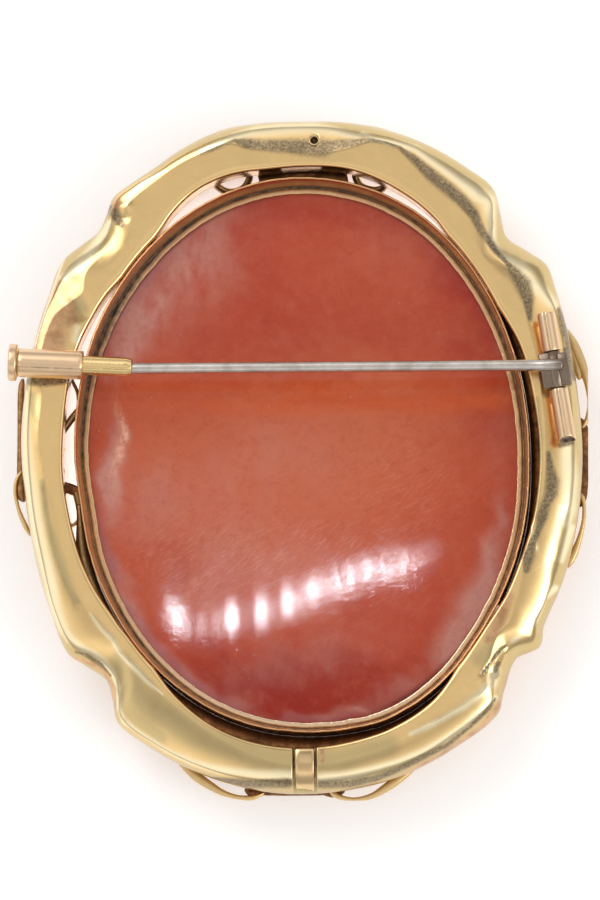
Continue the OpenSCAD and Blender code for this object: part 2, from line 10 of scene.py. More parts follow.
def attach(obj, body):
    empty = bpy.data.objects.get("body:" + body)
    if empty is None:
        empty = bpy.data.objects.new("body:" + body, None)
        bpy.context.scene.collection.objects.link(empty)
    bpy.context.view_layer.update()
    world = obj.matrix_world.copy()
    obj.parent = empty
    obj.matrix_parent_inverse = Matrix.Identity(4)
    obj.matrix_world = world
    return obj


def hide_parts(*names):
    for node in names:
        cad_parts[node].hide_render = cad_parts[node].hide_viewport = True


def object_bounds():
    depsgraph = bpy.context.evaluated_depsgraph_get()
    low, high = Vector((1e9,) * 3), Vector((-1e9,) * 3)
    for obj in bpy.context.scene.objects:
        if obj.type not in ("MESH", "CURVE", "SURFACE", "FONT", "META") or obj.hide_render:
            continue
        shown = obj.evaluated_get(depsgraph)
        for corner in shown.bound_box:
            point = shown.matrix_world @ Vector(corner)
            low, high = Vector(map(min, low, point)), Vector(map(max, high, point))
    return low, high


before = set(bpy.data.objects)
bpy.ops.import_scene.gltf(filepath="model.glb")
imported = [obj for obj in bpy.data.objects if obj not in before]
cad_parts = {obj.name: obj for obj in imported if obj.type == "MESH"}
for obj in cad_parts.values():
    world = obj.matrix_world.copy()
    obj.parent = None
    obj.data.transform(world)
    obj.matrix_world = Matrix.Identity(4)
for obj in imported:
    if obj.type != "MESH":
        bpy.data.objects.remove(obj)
cad_box = [list(corner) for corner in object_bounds()]

MM = 0.001
TAU = 2 * math.pi
# Steps round the oval of the border, the bezel and the shell
RING_STEPS, BEZEL_STEPS, SHELL_STEPS = 1400, 1080, 360
# How far the pieces stay inside the box of the CAD solids, in millimetres
BOX_MARGIN = 0.02

# Sizes shared with part.scad, in millimetres
SHELL_W, SHELL_L, SHELL_T, SHELL_EDGE_T, SHELL_DOME, RELIEF_H = 38.5, 47.4, 2.2, 1.4, 2.3, 1.6
BEZEL_WALL, FRONT_LIP_W, FRONT_LIP_T, RIM_H, OVAL_SWELL = 0.35, 1.1, 0.35, 2.5, 0.4
RING_W, RING_L, RING_H, EDGE_WAVE, GAP_WAVE, FOLD_DEPTH = 48, 58.6, 5.2, 1, 1.5, 0.9
SCROLL_RISE, WIRE_W, WIRE_T, LOBE_REACH, LEAF_L, LEAF_W = 3.4, 0.56, 1.3, 1.2, 3.2, 1.4
PIN_D, POINT_L, HINGE_X, HINGE_Y, HINGE_RISE, HINGE_LEAN = 0.96, 3.7, 21.9, 6.8, 1.6, 9.4
HINGE_TUBE_D, UPPER_TUBE_L, LOWER_TUBE_L, KNUCKLE_L, KNUCKLE_W, RIVET_D = 1.6, 3.4, 4.6, 3.2, 2.5, 0.6
PIN_RISE, PIN_SHIFT, CATCH_D, CATCH_L = 0.4, 0.4, 2.47, 5.65
SLIDER_D, SLIDER_BORE_D, SLIDER_OUT = 1.64, 1.28, 4.2
KNOB_D, KNOB_T, CATCH_X, CATCH_LEAN, STRAP_W, STRAP_T = 3.2, 0.74, 14.6, 2.8, 1.65, 0.35
FIT_GAP, RUN_GAP, CATCH_LIFT, STRAP_X, STEM_BACK, TIP_SHORT, WIRE_IN = 0.06, 0.05, 0.1, 0.2, 0.7, 0.65, 0.65
RING_FRONT = SCROLL_RISE
RING_BACK = RING_FRONT + RING_H
BEZEL_BACK = RING_BACK - 0.6
EDGE_BACK = BEZEL_BACK - RIM_H
EDGE_FRONT = EDGE_BACK - SHELL_EDGE_T
SHELL_FRONT = EDGE_FRONT - SHELL_DOME
SHELL_BACK = SHELL_FRONT + SHELL_T
BEZEL_FRONT = EDGE_FRONT - 0.3 - FRONT_LIP_T
BEZEL_W = SHELL_W + 2 * (BEZEL_WALL + FIT_GAP)
BEZEL_L = SHELL_L + 2 * (BEZEL_WALL + FIT_GAP)
HINGE_Z = RING_BACK + HINGE_RISE
PIN_Z = HINGE_Z + PIN_RISE

# Angle, and how far the oval swells there as a share of OVAL_SWELL
OVAL_SWELLS = [[0, -0.15], [20, 0], [40, 0.3], [58, 0.7], [75, 0.6], [90, 0.5], [120, 0.85], [140, 1],
    [155, 1.1], [168, 0.6], [180, 0.2], [190, -0.4], [202, 0.1], [232, 0.2], [258, 0.1], [272, 0.3],
    [282, 0.85], [291, 1.65], [307, 1.6], [318, 1], [330, 0.75], [345, 0.45]]
# Angle, outer edge as a share of EDGE_WAVE, gap of GAP_WAVE, fold of FOLD_DEPTH, flat part of the width
TWISTS = [[0, 0.1, 0.55, 0, 0.5], [12, 0.15, 0.45, 0, 0.55], [22, 0.55, 0.4, 0, 0.5], [29, 0.9, 0.15, 0, 0.5],
    [33.5, 1.15, 0, 0.1, 0.5], [37, 0.4, 0, 0.6, 0.45], [41.5, -0.45, 0, 1, 0.4], [45, 0.2, 0, 0.5, 0.5],
    [50, 1.4, 0, 0, 0.6], [56, 1.25, 0.25, 0, 0.6], [65, 0.95, 0.45, 0, 0.55], [78, 0.5, 0.65, 0, 0.5],
    [90, 0.15, 0.55, 0, 0.5], [98, 0.35, 0.55, 0, 0.55], [107, 0.7, 0.8, 0, 0.55], [115, 0.7, 0.8, 0, 0.6],
    [122, 0.6, 0.5, 0, 0.6], [127, 0.85, 0.15, 0.05, 0.6], [131, 1.05, 0, 0.15, 0.6],
    [134, 0.5, 0, 0.55, 0.55], [137.5, 0.15, 0, 0.8, 0.5], [141, 0.65, 0.05, 0.45, 0.55],
    [145.5, 1.35, 0.25, 0, 0.6], [152, 1, 0.4, 0, 0.55], [162, 0.7, 0.6, 0, 0.6], [175, 0.5, 0.6, 0, 0.6],
    [188, 0.2, 0.75, 0, 0.6], [198, 0.25, 0.6, 0, 0.6], [207, 0.45, 0.4, 0, 0.6],
    [214.5, 0.65, 0.15, 0, 0.65], [218, -0.1, 0.1, 0.5, 0.55], [222.5, -0.85, 0, 1, 0.45],
    [226.5, -0.1, 0, 0.5, 0.6], [230, 0.8, 0.05, 0, 0.75], [238, 0.55, 0.45, 0, 0.65],
    [250, 0.2, 0.85, 0, 0.55], [262, 0.05, 0.95, 0, 0.5], [275, 0, 0.85, 0, 0.4], [290, 0.3, 0.6, 0, 0.5],
    [302, 0.6, 0.45, 0, 0.6], [312, 0.95, 0, 0.1, 0.65], [316, 0.05, 0, 0.5, 0.6], [322, -0.7, 0.05, 1, 0.5],
    [326, 0.5, 0.1, 0.3, 0.6], [330, 0, 0.2, 0.1, 0.6], [338, 0.1, 0.25, 0, 0.55], [350, 0.1, 0.45, 0, 0.5]]
# Back of the border: 0 to 1 across its flat and 1 to 2 down its shoulder, and the drop as a share of half
# the height. Front of the border: share of its width, and the drop from half the height on.
BACK_SECTION = [[0, 0.14], [0.12, 0.03], [0.6, 0], [1, 0.03], [1.38, 0.15], [1.74, 0.42], [1.94, 0.74],
    [2, 1]]
FRONT_SECTION = [[0.96, 0.42], [0.78, 0.82], [0.5, 1], [0.24, 0.86], [0.06, 0.45], [0, 0.1]]
# Angle of each ornament, the half angle it spans on each side, and the width of its struts
SCROLLS = [[0, 14, 15, 1.6], [90, 15, 14, 3.2], [177, 8.5, 9, 1.25], [269, 12.5, 15, 1.1]]
# The ornament with loops of wire, and how far they reach on each side
LOOPED, LOOP_REACH = 90, (0.4, 0.35)
# The wires of the loops past the ring and in the gap: share of the half angle, reach, and height in WIRE_T
SCALLOP = [[0, 0.4, 0.45], [0.5, 0.35, 0.3], [0.8, 0.85, 0], [1, 1, 0], [1.2, 0.9, 0], [1.45, 0.1, 0.25],
    [1.75, -1.3, 0.7]]
INNER_LOOP = [[1.4, 1.8, 0.7], [1.34, 0.9, 0.3], [1.25, 0.3, 0.15], [1.12, 0.05, 0.15], [0.98, 0.2, 0.15],
    [0.88, 0.9, 0.3], [0.82, 1.8, 0.7]]
# Leaves round a boss: turn, then length and width as shares of LEAF_L and LEAF_W
LEAVES = [[-128, 0.8, 0.9], [-82, 1.85, 1.15], [-58, 1.3, 1], [-30, 0.8, 0.9], [0, 0.62, 0.9], [30, 0.8, 0.9],
    [58, 1.3, 1], [82, 1.85, 1.15], [128, 0.8, 0.9], [180, 0.7, 0.9]]
# Leaves and buds of the relief: middle, half length and half width as shares of half the shell's width,
# turn, and height as a share of RELIEF_H
LEAF_SPRAY = [[-0.43, 0.36, 0.34, 0.16, 140, 0.55], [0.43, 0.36, 0.34, 0.16, 40, 0.55],
    [-0.52, -0.12, 0.34, 0.16, 195, 0.5], [0.52, -0.12, 0.34, 0.16, -15, 0.5],
    [-0.3, -0.48, 0.34, 0.15, 235, 0.55], [0.3, -0.48, 0.34, 0.15, -55, 0.55], [0, 0.6, 0.36, 0.17, 90, 0.55],
    [-0.24, 0.78, 0.24, 0.09, 115, 0.4], [0.24, 0.78, 0.24, 0.09, 65, 0.4],
    [0.02, -0.66, 0.42, 0.07, 270, 0.35], [-0.14, -0.84, 0.24, 0.1, 225, 0.45],
    [0.18, -0.88, 0.24, 0.1, 310, 0.45]]
BUDS = [[-0.66, 0.62, 0.15, 0.11, 130, 0.6], [0.66, 0.62, 0.15, 0.11, 50, 0.6],
    [-0.58, -0.5, 0.13, 0.1, 220, 0.55], [0.58, -0.5, 0.13, 0.1, -40, 0.55]]
BLOOM_Y = 0.02


def petals(n, out, length, wide, start, high):
    rows = []
    for i in range(n):
        a = math.radians(start + 360 * i / n)
        rows.append([out * math.cos(a), BLOOM_Y + out * math.sin(a), length, wide, math.degrees(a), high])
    return rows


PETALS = (petals(6, 0.3, 0.19, 0.17, 30, 0.62) + petals(5, 0.17, 0.16, 0.14, 10, 0.8)
    + petals(3, 0.07, 0.1, 0.1, 50, 1) + BUDS)


# Curves of the outlines, for arrays of angles in degrees
def through(table, angle, column):
    rows = np.array(table, float)
    n = len(rows)
    a = np.mod(np.asarray(angle, float), 360)
    i = np.searchsorted(rows[:, 0], a, side="right") - 1

    def row(k):
        return rows[k % n, 0] + 360 * (k // n), rows[k % n, column]

    (a0, v0), (a1, v1), (a2, v2), (a3, v3) = row(i - 1), row(i), row(i + 1), row(i + 2)
    step = a2 - a1
    s = (a - a1) / step
    m1, m2 = (v2 - v0) / (a2 - a0), (v3 - v1) / (a3 - a1)
    return ((2 * s ** 3 - 3 * s ** 2 + 1) * v1 + (s ** 3 - 2 * s ** 2 + s) * step * m1
        + (3 * s ** 2 - 2 * s ** 3) * v2 + (s ** 3 - s ** 2) * step * m2)


def twist(a, c):
    return through(TWISTS, a, c)


def ellipse(w, l, a):
    r = np.radians(a)
    return np.stack([w / 2 * np.cos(r), l / 2 * np.sin(r)], -1)


def outward(w, l, a):
    r = np.radians(a)
    v = np.stack([l * np.cos(r), w * np.sin(r)], -1)
    return v / np.linalg.norm(v, axis=-1, keepdims=True)


def bezel_edge(a, inset):
    out = OVAL_SWELL * through(OVAL_SWELLS, a, 1) - inset
    return ellipse(BEZEL_W, BEZEL_L, a) + outward(BEZEL_W, BEZEL_L, a) * np.asarray(out)[..., None]


def outer_edge(a):
    return ellipse(RING_W, RING_L, a) + outward(RING_W, RING_L, a) * (EDGE_WAVE * twist(a, 1))[..., None]


def inner_edge(a):
    return bezel_edge(a, -np.maximum(FIT_GAP, GAP_WAVE * twist(a, 2)))


def across(a, u):
    u = np.asarray(u, float)[..., None]
    return inner_edge(a) * (1 - u) + outer_edge(a) * u


# Where a point of the photograph lies on a level of the brooch, and the other way round. The camera looks
# from 9 degrees below and 2.8 degrees to the right. AXIS_X, AXIS_Y is the pixel of the axis at AXIS_Z.
PX_MM = 0.0862
TILT_Y, TILT_X = math.radians(9), math.radians(2.8)
AXIS_X, AXIS_Y, AXIS_Z = 302.45, 454.4, 8


def from_photo(px, py, z):
    x = ((px - AXIS_X) * PX_MM + (z - AXIS_Z) * math.sin(TILT_X)) / math.cos(TILT_X)
    y = ((AXIS_Y - py) * PX_MM - (z - AXIS_Z) * math.sin(TILT_Y)) / math.cos(TILT_Y)
    return np.array([x, y])


def to_photo(p):
    u = p[..., 0] * math.cos(TILT_X) - (p[..., 2] - AXIS_Z) * math.sin(TILT_X)
    v = p[..., 1] * math.cos(TILT_Y) + (p[..., 2] - AXIS_Z) * math.sin(TILT_Y)
    return AXIS_X + u / PX_MM, AXIS_Y - v / PX_MM


def spun(x, y, degrees):
    r = math.radians(degrees)
    return x * math.cos(r) - y * math.sin(r), x * math.sin(r) + y * math.cos(r)


def smooth(edge0, edge1, x):
    t = np.clip((x - edge0) / (edge1 - edge0), 0, 1)
    return t * t * (3 - 2 * t)


def bell(x, wide):
    return np.exp(-(x / wide) ** 2)


def circle(count, whole=TAU):
    return np.linspace(0, whole, count, endpoint=False)


def lumps(p, scale, seed, octaves=3):
    # A smooth random field made of sine waves, about -1 to 1
    rng = np.random.default_rng(seed)
    total = np.zeros(p.shape[:-1])
    size = 0
    for k in range(octaves):
        for _ in range(5):
            d = rng.normal(size=p.shape[-1])
            d *= TAU / (scale / 1.9 ** k) / np.linalg.norm(d) * rng.uniform(0.7, 1.3)
            total += np.sin(p @ d + rng.uniform(0, TAU)) * 0.6 ** k
        size += 0.6 ** (2 * k) * 2.5
    return total / math.sqrt(size) / 1.6


def to_line(x, y, line):
    # Distance of points to a line of points, and the share of the way along it
    best = np.full(x.shape, 1e9)
    along = np.zeros(x.shape)
    pts = np.array(line, float)
    lengths = np.linalg.norm(np.diff(pts, axis=0), axis=1)
    reach = np.concatenate([[0], np.cumsum(lengths)]) / lengths.sum()
    for k in range(len(pts) - 1):
        ax, ay = pts[k]
        bx, by = pts[k + 1] - pts[k]
        t = np.clip(((x - ax) * bx + (y - ay) * by) / (bx * bx + by * by), 0, 1)
        d = np.hypot(x - ax - t * bx, y - ay - t * by)
        nearer = d < best
        best = np.where(nearer, d, best)
        along = np.where(nearer, reach[k] + t * (reach[k + 1] - reach[k]), along)
    return best, along


def put_in_scene(name, data):
    o = bpy.data.objects.new(name, data)
    bpy.context.scene.collection.objects.link(o)
    return o


# Meshes
def build(name, points, quads, tris, attributes, body="root"):
    tris = np.zeros((0, 3), int) if tris is None else tris
    me = bpy.data.meshes.new(name)
    me.vertices.add(len(points))
    me.vertices.foreach_set("co", (np.asarray(points, float) * MM).astype(np.float32).ravel())
    corners = np.concatenate([quads.ravel(), tris.ravel()]).astype(np.int32)
    me.loops.add(len(corners))
    me.loops.foreach_set("vertex_index", corners)
    starts = np.concatenate([np.arange(len(quads)) * 4, len(quads) * 4 + np.arange(len(tris)) * 3])
    me.polygons.add(len(starts))
    me.polygons.foreach_set("loop_start", starts.astype(np.int32))
    me.update(calc_edges=True)
    me.validate()
    for key, values in attributes.items():
        me.attributes.new(key, "FLOAT", "POINT").data.foreach_set(
            "value", np.asarray(values, np.float32).ravel())
    bm = bmesh.new()
    bm.from_mesh(me)
    bmesh.ops.recalc_face_normals(bm, faces=bm.faces)
    bm.to_mesh(me)
    bm.free()
    me.polygons.foreach_set("use_smooth", np.ones(len(me.polygons), bool))
    me.update()
    o = put_in_scene(name, me)
    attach(o, body)
    return o


def grid_quads(nu, nv, close_u=False, close_v=False, first=0):
    i = np.arange(nu if close_u else nu - 1)
    k = np.arange(nv if close_v else nv - 1)
    i, k = np.meshgrid(i, k, indexing="ij")
    j, l = (i + 1) % nu, (k + 1) % nv
    return first + np.stack([i * nv + k, j * nv + k, j * nv + l, i * nv + l], -1).reshape(-1, 4)


class Parts:
    # Gathers several grids into one mesh
    def __init__(self):
        self.points, self.quads, self.tris, self.count = [], [], [], 0
        self.marks, self.mark = [], 0.0

    def grid(self, p, close_u=False, close_v=False):
        nu, nv = p.shape[:2]
        self.quads.append(grid_quads(nu, nv, close_u, close_v, self.count))
        self.points.append(p.reshape(-1, 3))
        self.marks.append(np.broadcast_to(self.mark, (nu, nv)).ravel())
        self.count += nu * nv

    def tube(self, rings):
        # A closed tube of rings, with a point in the middle of each end
        n, m = rings.shape[:2]
        first = self.count
        self.grid(rings, close_v=True)
        self.points.append(np.stack([rings[0].mean(0), rings[-1].mean(0)]))
        self.marks.append(np.full(2, np.mean(self.mark)))
        k = np.arange(m)
        self.tris.append(np.stack([np.full(m, first + n * m), first + (k + 1) % m, first + k], -1))
        last = first + (n - 1) * m
        self.tris.append(np.stack([np.full(m, first + n * m + 1), last + k, last + (k + 1) % m], -1))
        self.count += 2

    def pole(self, point, rim):
        # A point that closes a grid, from the numbers of the points round it
        self.points.append(np.array([point], float))
        self.tris.append(np.stack([np.full(len(rim), self.count), rim, np.roll(rim, -1)], -1))
        self.count += 1

    def build(self, name, body="root", attributes=None):
        tris = np.concatenate(self.tris) if self.tris else None
        attributes = attributes or {"grime_and_shade": np.concatenate(self.marks)}
        return build(name, np.concatenate(self.points), np.concatenate(self.quads), tris, attributes, body)


def spline(points, count, closed=False):
    p = np.array(points, float)
    n = len(p)
    t = np.linspace(0, n if closed else n - 1, count, endpoint=not closed)
    i = np.minimum(np.floor(t).astype(int), n - 1 if closed else n - 2)
    s = (t - i)[:, None]

    def at(k):
        return p[k % n] if closed else p[np.clip(k, 0, n - 1)]

    p0, p1, p2, p3 = at(i - 1), at(i), at(i + 1), at(i + 2)
    return 0.5 * (2 * p1 + (p2 - p0) * s + (2 * p0 - 5 * p1 + 4 * p2 - p3) * s ** 2
        + (3 * p1 - p0 - 3 * p2 + p3) * s ** 3)


# Materials
class Nodes:
    def __init__(self, tree):
        self.tree = tree

    def add(self, kind, **inputs):
        n = self.tree.nodes.new(kind)
        for key, value in inputs.items():
            if key in n.bl_rna.properties and key not in n.inputs:
                setattr(n, key, value)
            else:
                self.put(n.inputs[key], value)
        return n

    def put(self, socket, value):
        if isinstance(value, bpy.types.NodeSocket):
            self.tree.links.new(value, socket)
        else:
            socket.default_value = value

    def place(self, scale=(1, 1, 1), spin=(0, 0, 0)):
        c = self.add("ShaderNodeTexCoord")
        m = self.add("ShaderNodeMapping")
        self.put(m.inputs["Vector"], c.outputs["Object"])
        m.inputs["Scale"].default_value = scale
        m.inputs["Rotation"].default_value = spin
        return m.outputs["Vector"]

    def noise(self, scale, detail=3.0, rough=0.5, vector=None, distortion=0.0):
        n = self.add("ShaderNodeTexNoise", Scale=scale, Detail=detail, Roughness=rough, Distortion=distortion)
        self.put(n.inputs["Vector"], vector if vector is not None else self.place())
        return n.outputs["Fac"]

    def ramp(self, value, *stops):
        n = self.add("ShaderNodeValToRGB")
        self.put(n.inputs["Fac"], value)
        el = n.color_ramp.elements
        while len(el) < len(stops):
            el.new(0.5)
        for e, (pos, colour) in zip(el, stops):
            e.position = pos
            e.color = (*colour, 1) if isinstance(colour, (tuple, list)) else (colour, colour, colour, 1)
        return n.outputs["Color"]

    def maths(self, how, a, b=0.0, clamp=False):
        n = self.add("ShaderNodeMath")
        n.operation = how
        n.use_clamp = clamp
        self.put(n.inputs[0], a)
        self.put(n.inputs[1], b)
        return n.outputs[0]

    def times(self, a, b, clamp=False):
        return self.maths("MULTIPLY", a, b, clamp)

    def plus(self, a, b, clamp=False):
        return self.maths("ADD", a, b, clamp)

    def scaled(self, value, by, start):
        # value * by + start
        out = self.maths("MULTIPLY_ADD", value, by)
        self.put(out.node.inputs[2], start)
        return out

    def patches(self, low, high, scale, detail, rough, vector=None):
        # Noise as patches: 0 where it is under low, 1 where it is over high
        return self.ramp(self.noise(scale, detail, rough, vector), (low, 0.0), (high, 1.0))

    def mix(self, share, a, b):
        n = self.add("ShaderNodeMix")
        n.data_type = "RGBA"
        self.put(n.inputs[0], share)
        self.put(n.inputs[6], (*a, 1) if isinstance(a, tuple) else a)
        self.put(n.inputs[7], (*b, 1) if isinstance(b, tuple) else b)
        return n.outputs[2]

    def attribute(self, name):
        n = self.add("ShaderNodeAttribute")
        n.attribute_name = name
        return n.outputs["Fac"]

    def bump(self, height, strength, distance, normal=None):
        n = self.add("ShaderNodeBump", Strength=strength, Distance=distance)
        self.put(n.inputs["Height"], height)
        if normal is not None:
            self.put(n.inputs["Normal"], normal)
        return n.outputs["Normal"]

    def scratches(self, scale, spin, cut=0.67):
        # Thin straight marks in one direction, as a value that is 1 on a mark
        v = self.place((1, 14, 4), (0.3, 0.2, spin))
        v.node.vector_type = "TEXTURE"
        return self.patches(cut, cut + 0.05, scale, 2.0, 0.5, v)


def material(name):
    m = bpy.data.materials.new(name)
    m.use_nodes = True
    return m, Nodes(m.node_tree), m.node_tree.nodes["Principled BSDF"]


def gold(name, colour, dark, rough, mottle, grime_and_shade=None, painted_light=False):
    # Gold of one colour, patchy with a darker one, with soiling, painted shade, painted reflections and
    # painted highlights where the attributes say so
    m, n, out = material(name)
    patchy = n.patches(0.35, 0.7, 420, 4.0, 0.6)
    fine = n.noise(2600, 3.0, 0.6)
    base = n.mix(n.times(patchy, mottle), colour, dark)
    base = n.mix(n.times(n.ramp(fine, (0.55, 0.0), (0.75, 1.0)), 0.18), base, dark)
    rub = n.plus(n.scratches(5200, 0.5), n.scratches(4300, 2.2))
    roughness = n.plus(n.scaled(patchy, 0.1, rough), n.times(rub, 0.04))
    if name == "copper_gold":
        # Painted brownish shade on the bezel's walls and painted light on its lip
        base = n.mix(n.attribute("painted_wall_shade"), base, (0.2, 0.085, 0.038))
        base = n.mix(n.attribute("bright"), base, (0.88, 0.63, 0.42))
    if painted_light:
        # Painted shade on the outer slope, painted tan shade, painted pink reflections and shade, and painted
        # highlights
        tan_shade = n.mix(n.noise(240, 3.0, 0.6), (0.70, 0.52, 0.24), (0.60, 0.45, 0.22))
        pink_shade = n.mix(n.patches(0.42, 0.62, 600, 4.0, 0.7), (0.74, 0.43, 0.23), (0.5, 0.26, 0.13))
        for key, share, tint in (("painted_slope_shade", 1.0, (0.56, 0.43, 0.21)), ("painted_tan_shade", 1.0, tan_shade),
                ("painted_pink_shade", 0.9, pink_shade), ("painted_light", 0.85, (1.0, 0.86, 0.56))):
            base = n.mix(n.times(n.attribute(key), share), base, tint)
        # Painted dark reflections and shadow, speckled in greyish olive
        speckle = n.noise(4800, 5.0, 0.75, None, 0.6)
        painted_dark = n.times(n.attribute("painted_dark_reflection"), n.plus(n.ramp(speckle, (0.3, 0.5), (0.62, 1.0)), 0.1), True)
        base = n.mix(painted_dark, base,
            n.mix(n.ramp(speckle, (0.35, 0.0), (0.6, 1.0)), (0.34, 0.26, 0.16), (0.18, 0.135, 0.085)))
        roughness = n.plus(roughness, n.times(painted_dark, 0.12))
    if name == "gold_front":
        # Where the painted shade in the gap is strongest it turns a dark copper colour
        base = n.mix(n.ramp(n.attribute("grime_and_shade"), (0.5, 0.0), (0.8, 1.0)), base, (0.56, 0.25, 0.09))
    if grime_and_shade:
        # Soiling with painted shade, broken into patches, darkens and dulls the metal
        broken = n.patches(0.3, 0.62, 1500, 4.0, 0.65)
        dirt_and_shade = n.times(n.attribute("grime_and_shade"), n.scaled(broken, 0.65, 0.35), True)
        base = n.mix(dirt_and_shade, base, grime_and_shade)
        roughness = n.plus(roughness, n.times(dirt_and_shade, 0.35))
        dull = n.times(dirt_and_shade, 0.1 if name == "gold_front" else 0.6)
        n.put(out.inputs["Metallic"], n.maths("SUBTRACT", 1.0, dull))
    else:
        out.inputs["Metallic"].default_value = 1.0
    n.put(out.inputs["Base Color"], base)
    n.put(out.inputs["Roughness"], roughness)
    waves = n.bump(n.noise(260, 2.0, 0.5), 0.25, 0.00012)
    marks = n.bump(rub, 0.1, 0.00001, waves)
    n.put(out.inputs["Normal"], n.bump(fine, 0.12, 0.00001, marks))
    return m


GOLD = gold("gold_pale", (0.90, 0.62, 0.28), (0.80, 0.53, 0.22), rough=0.17, mottle=0.25,
    grime_and_shade=(0.05, 0.035, 0.025), painted_light=True)
GOLD_FRONT = gold("gold_front", (0.88, 0.62, 0.30), (0.66, 0.43, 0.18), rough=0.24, mottle=0.5,
    grime_and_shade=(0.1, 0.04, 0.02))
COPPER = gold("copper_gold", (0.80, 0.46, 0.21), (0.5, 0.26, 0.13), rough=0.2, mottle=0.5,
    grime_and_shade=(0.06, 0.058, 0.066))
ROSE = gold("rose_gold", (0.86, 0.62, 0.39), (0.72, 0.44, 0.25), rough=0.28, mottle=0.35,
    grime_and_shade=(0.05, 0.035, 0.03))
SEAM = gold("seam_gold", (0.78, 0.57, 0.29), (0.7, 0.42, 0.24), rough=0.16, mottle=0.4)
BRIGHT = gold("bright_gold", (0.93, 0.68, 0.32), (0.78, 0.51, 0.2), rough=0.22, mottle=0.25,
    grime_and_shade=(0.16, 0.09, 0.03))


def steel():
    m, n, out = material("steel")
    lengthwise = n.noise(900, 3.0, 0.6, n.place((0.08, 1, 1)))
    patchy = n.noise(700, 4.0, 0.6)
    base = n.mix(n.ramp(patchy, (0.4, 0.0), (0.75, 1.0)), (0.68, 0.62, 0.57), (0.46, 0.4, 0.35))
    # Darker brownish soiling with painted shade, where the attribute says so
    grime_and_shade = n.mix(n.noise(1300, 3.0, 0.6), (0.11, 0.075, 0.05), (0.26, 0.17, 0.1))
    n.put(out.inputs["Base Color"], n.mix(n.attribute("grime_and_shade"), base, grime_and_shade))
    out.inputs["Metallic"].default_value = 1.0
    n.put(out.inputs["Roughness"], n.scaled(lengthwise, 0.18, 0.2))
    n.put(out.inputs["Normal"], n.bump(lengthwise, 0.2, 0.00002, n.bump(patchy, 0.2, 0.00003)))
    return m


STEEL = steel()


def shell_material():
    m, n, out = material("shell_back")
    base = n.mix(n.patches(0.35, 0.68, 150, 4.0, 0.55), (0.41, 0.056, 0.021), (0.375, 0.04, 0.013))
    streaks = n.patches(0.3, 0.6, 300, 4.0, 0.62, n.place((1, 0.5, 1), (0, 0, 0.5)))
    # Pale pink stains of the shell, with a painted sheen on the left
    haze_and_sheen = n.times(n.attribute("haze_and_sheen"), n.plus(streaks, 0.25), True)
    # Rubbed strokes in arcs where the dish was polished most
    arcs = n.plus(n.scratches(6500, -1.15, 0.57), n.scratches(6000, -0.7, 0.58), True)
    # Painted sparkle: lighter speckles where a lamp's reflection shows
    glint_speckle = n.ramp(n.noise(2600, 3.0, 0.7, n.place((1, 0.6, 1))), (0.35, 0.1), (0.65, 1.0))
    # Where each tint lies, its strength and its colour, in the order in which they lie on each other
    for where, share, tint in (
            (n.attribute("glow"), 1.0, (0.49, 0.105, 0.042)),
            (n.attribute("dark"), 1.0, (0.24, 0.009, 0.003)),
            (n.attribute("crimson"), 1.0, (0.33, 0.022, 0.014)),
            (n.attribute("orange"), 1.0, (0.50, 0.075, 0.013)),
            (haze_and_sheen, 0.9, (0.49, 0.22, 0.175)),
            (n.attribute("mauve"), 0.7, (0.31, 0.11, 0.125)),
            # Painted shadow along the rim
            (n.attribute("rim"), 1.0, (0.13, 0.015, 0.012)),
            (n.patches(0.45, 0.75, 700, 5.0, 0.75), 0.25, (0.52, 0.15, 0.085)),
            (n.patches(0.48, 0.75, 1300, 4.0, 0.75), 0.28, (0.27, 0.02, 0.01)),
            (n.times(n.attribute("rubbed"), arcs), 0.2, (0.66, 0.3, 0.25)),
            (n.times(n.attribute("painted_glint"), glint_speckle), 1.0, (0.9, 0.52, 0.34)),
            (n.patches(0.76, 0.79, 2400, 2.0, 0.5), 0.35, (0.7, 0.3, 0.22))):
        base = n.mix(n.times(where, share), base, tint)
    n.put(out.inputs["Base Color"], base)
    for key, value in (("Subsurface Weight", 0.06), ("Subsurface Radius", (0.004, 0.0012, 0.0006)),
            ("Subsurface Scale", 0.3), ("Specular IOR Level", 0.06), ("Coat Weight", 0.5),
            ("Coat Roughness", 0.035)):
        out.inputs[key].default_value = value
    rub = n.plus(n.scratches(2600, 0.8), n.scratches(3400, 2.5))
    rough = n.scaled(n.noise(300, 3.0, 0.6), 0.12, 0.2)
    n.put(out.inputs["Roughness"], n.plus(rough, n.times(rub, 0.05)))
    # Fine lengthwise polishing marks, which draw reflections out along the brooch
    brushed = n.noise(3600, 3.0, 0.6, n.place((1, 0.14, 1), (0, 0, 0.12)))
    n.put(out.inputs["Normal"], n.bump(brushed, 0.1, 0.00001))
    grain = n.noise(4200, 3.0, 0.7, n.place((0.32, 1, 1), (0, 0, 0.1)))
    n.put(out.inputs["Coat Normal"], n.bump(rub, 0.1, 0.000003, n.bump(grain, 0.14, 0.000009)))
    return m


SHELL_BACK_MATERIAL = shell_material()


def relief_material():
    m, n, out = material("shell_relief")
    clouds = n.patches(0.35, 0.7, 220, 4.0, 0.6)
    ground = n.mix(clouds, (0.52, 0.13, 0.06), (0.44, 0.09, 0.04))
    white = n.mix(clouds, (0.86, 0.74, 0.64), (0.8, 0.62, 0.5))
    rise = n.plus(n.attribute("raised"), n.times(n.noise(900, 3.0, 0.6), 0.1))
    high = n.ramp(rise, (0.08, 0.0), (0.3, 1.0))
    n.put(out.inputs["Base Color"], n.mix(high, ground, white))
    n.put(out.inputs["Roughness"], n.scaled(high, 0.22, 0.16))
    n.put(out.inputs["Normal"], n.bump(n.noise(1800, 3.0, 0.6), 0.12, 0.00002))
    return m


RELIEF_MATERIAL = relief_material()


def dress(obj, mat):
    obj.data.materials.clear()
    obj.data.materials.append(mat)
    return obj


# The camera stands at the photograph's angle. It frames FRAME_W by FRAME_H pixels and is far off, so that it
# sees nearly without perspective.
FRAME_W, FRAME_H, FILM_MM, CAMERA_FAR = 600, 900, 36, 1.5


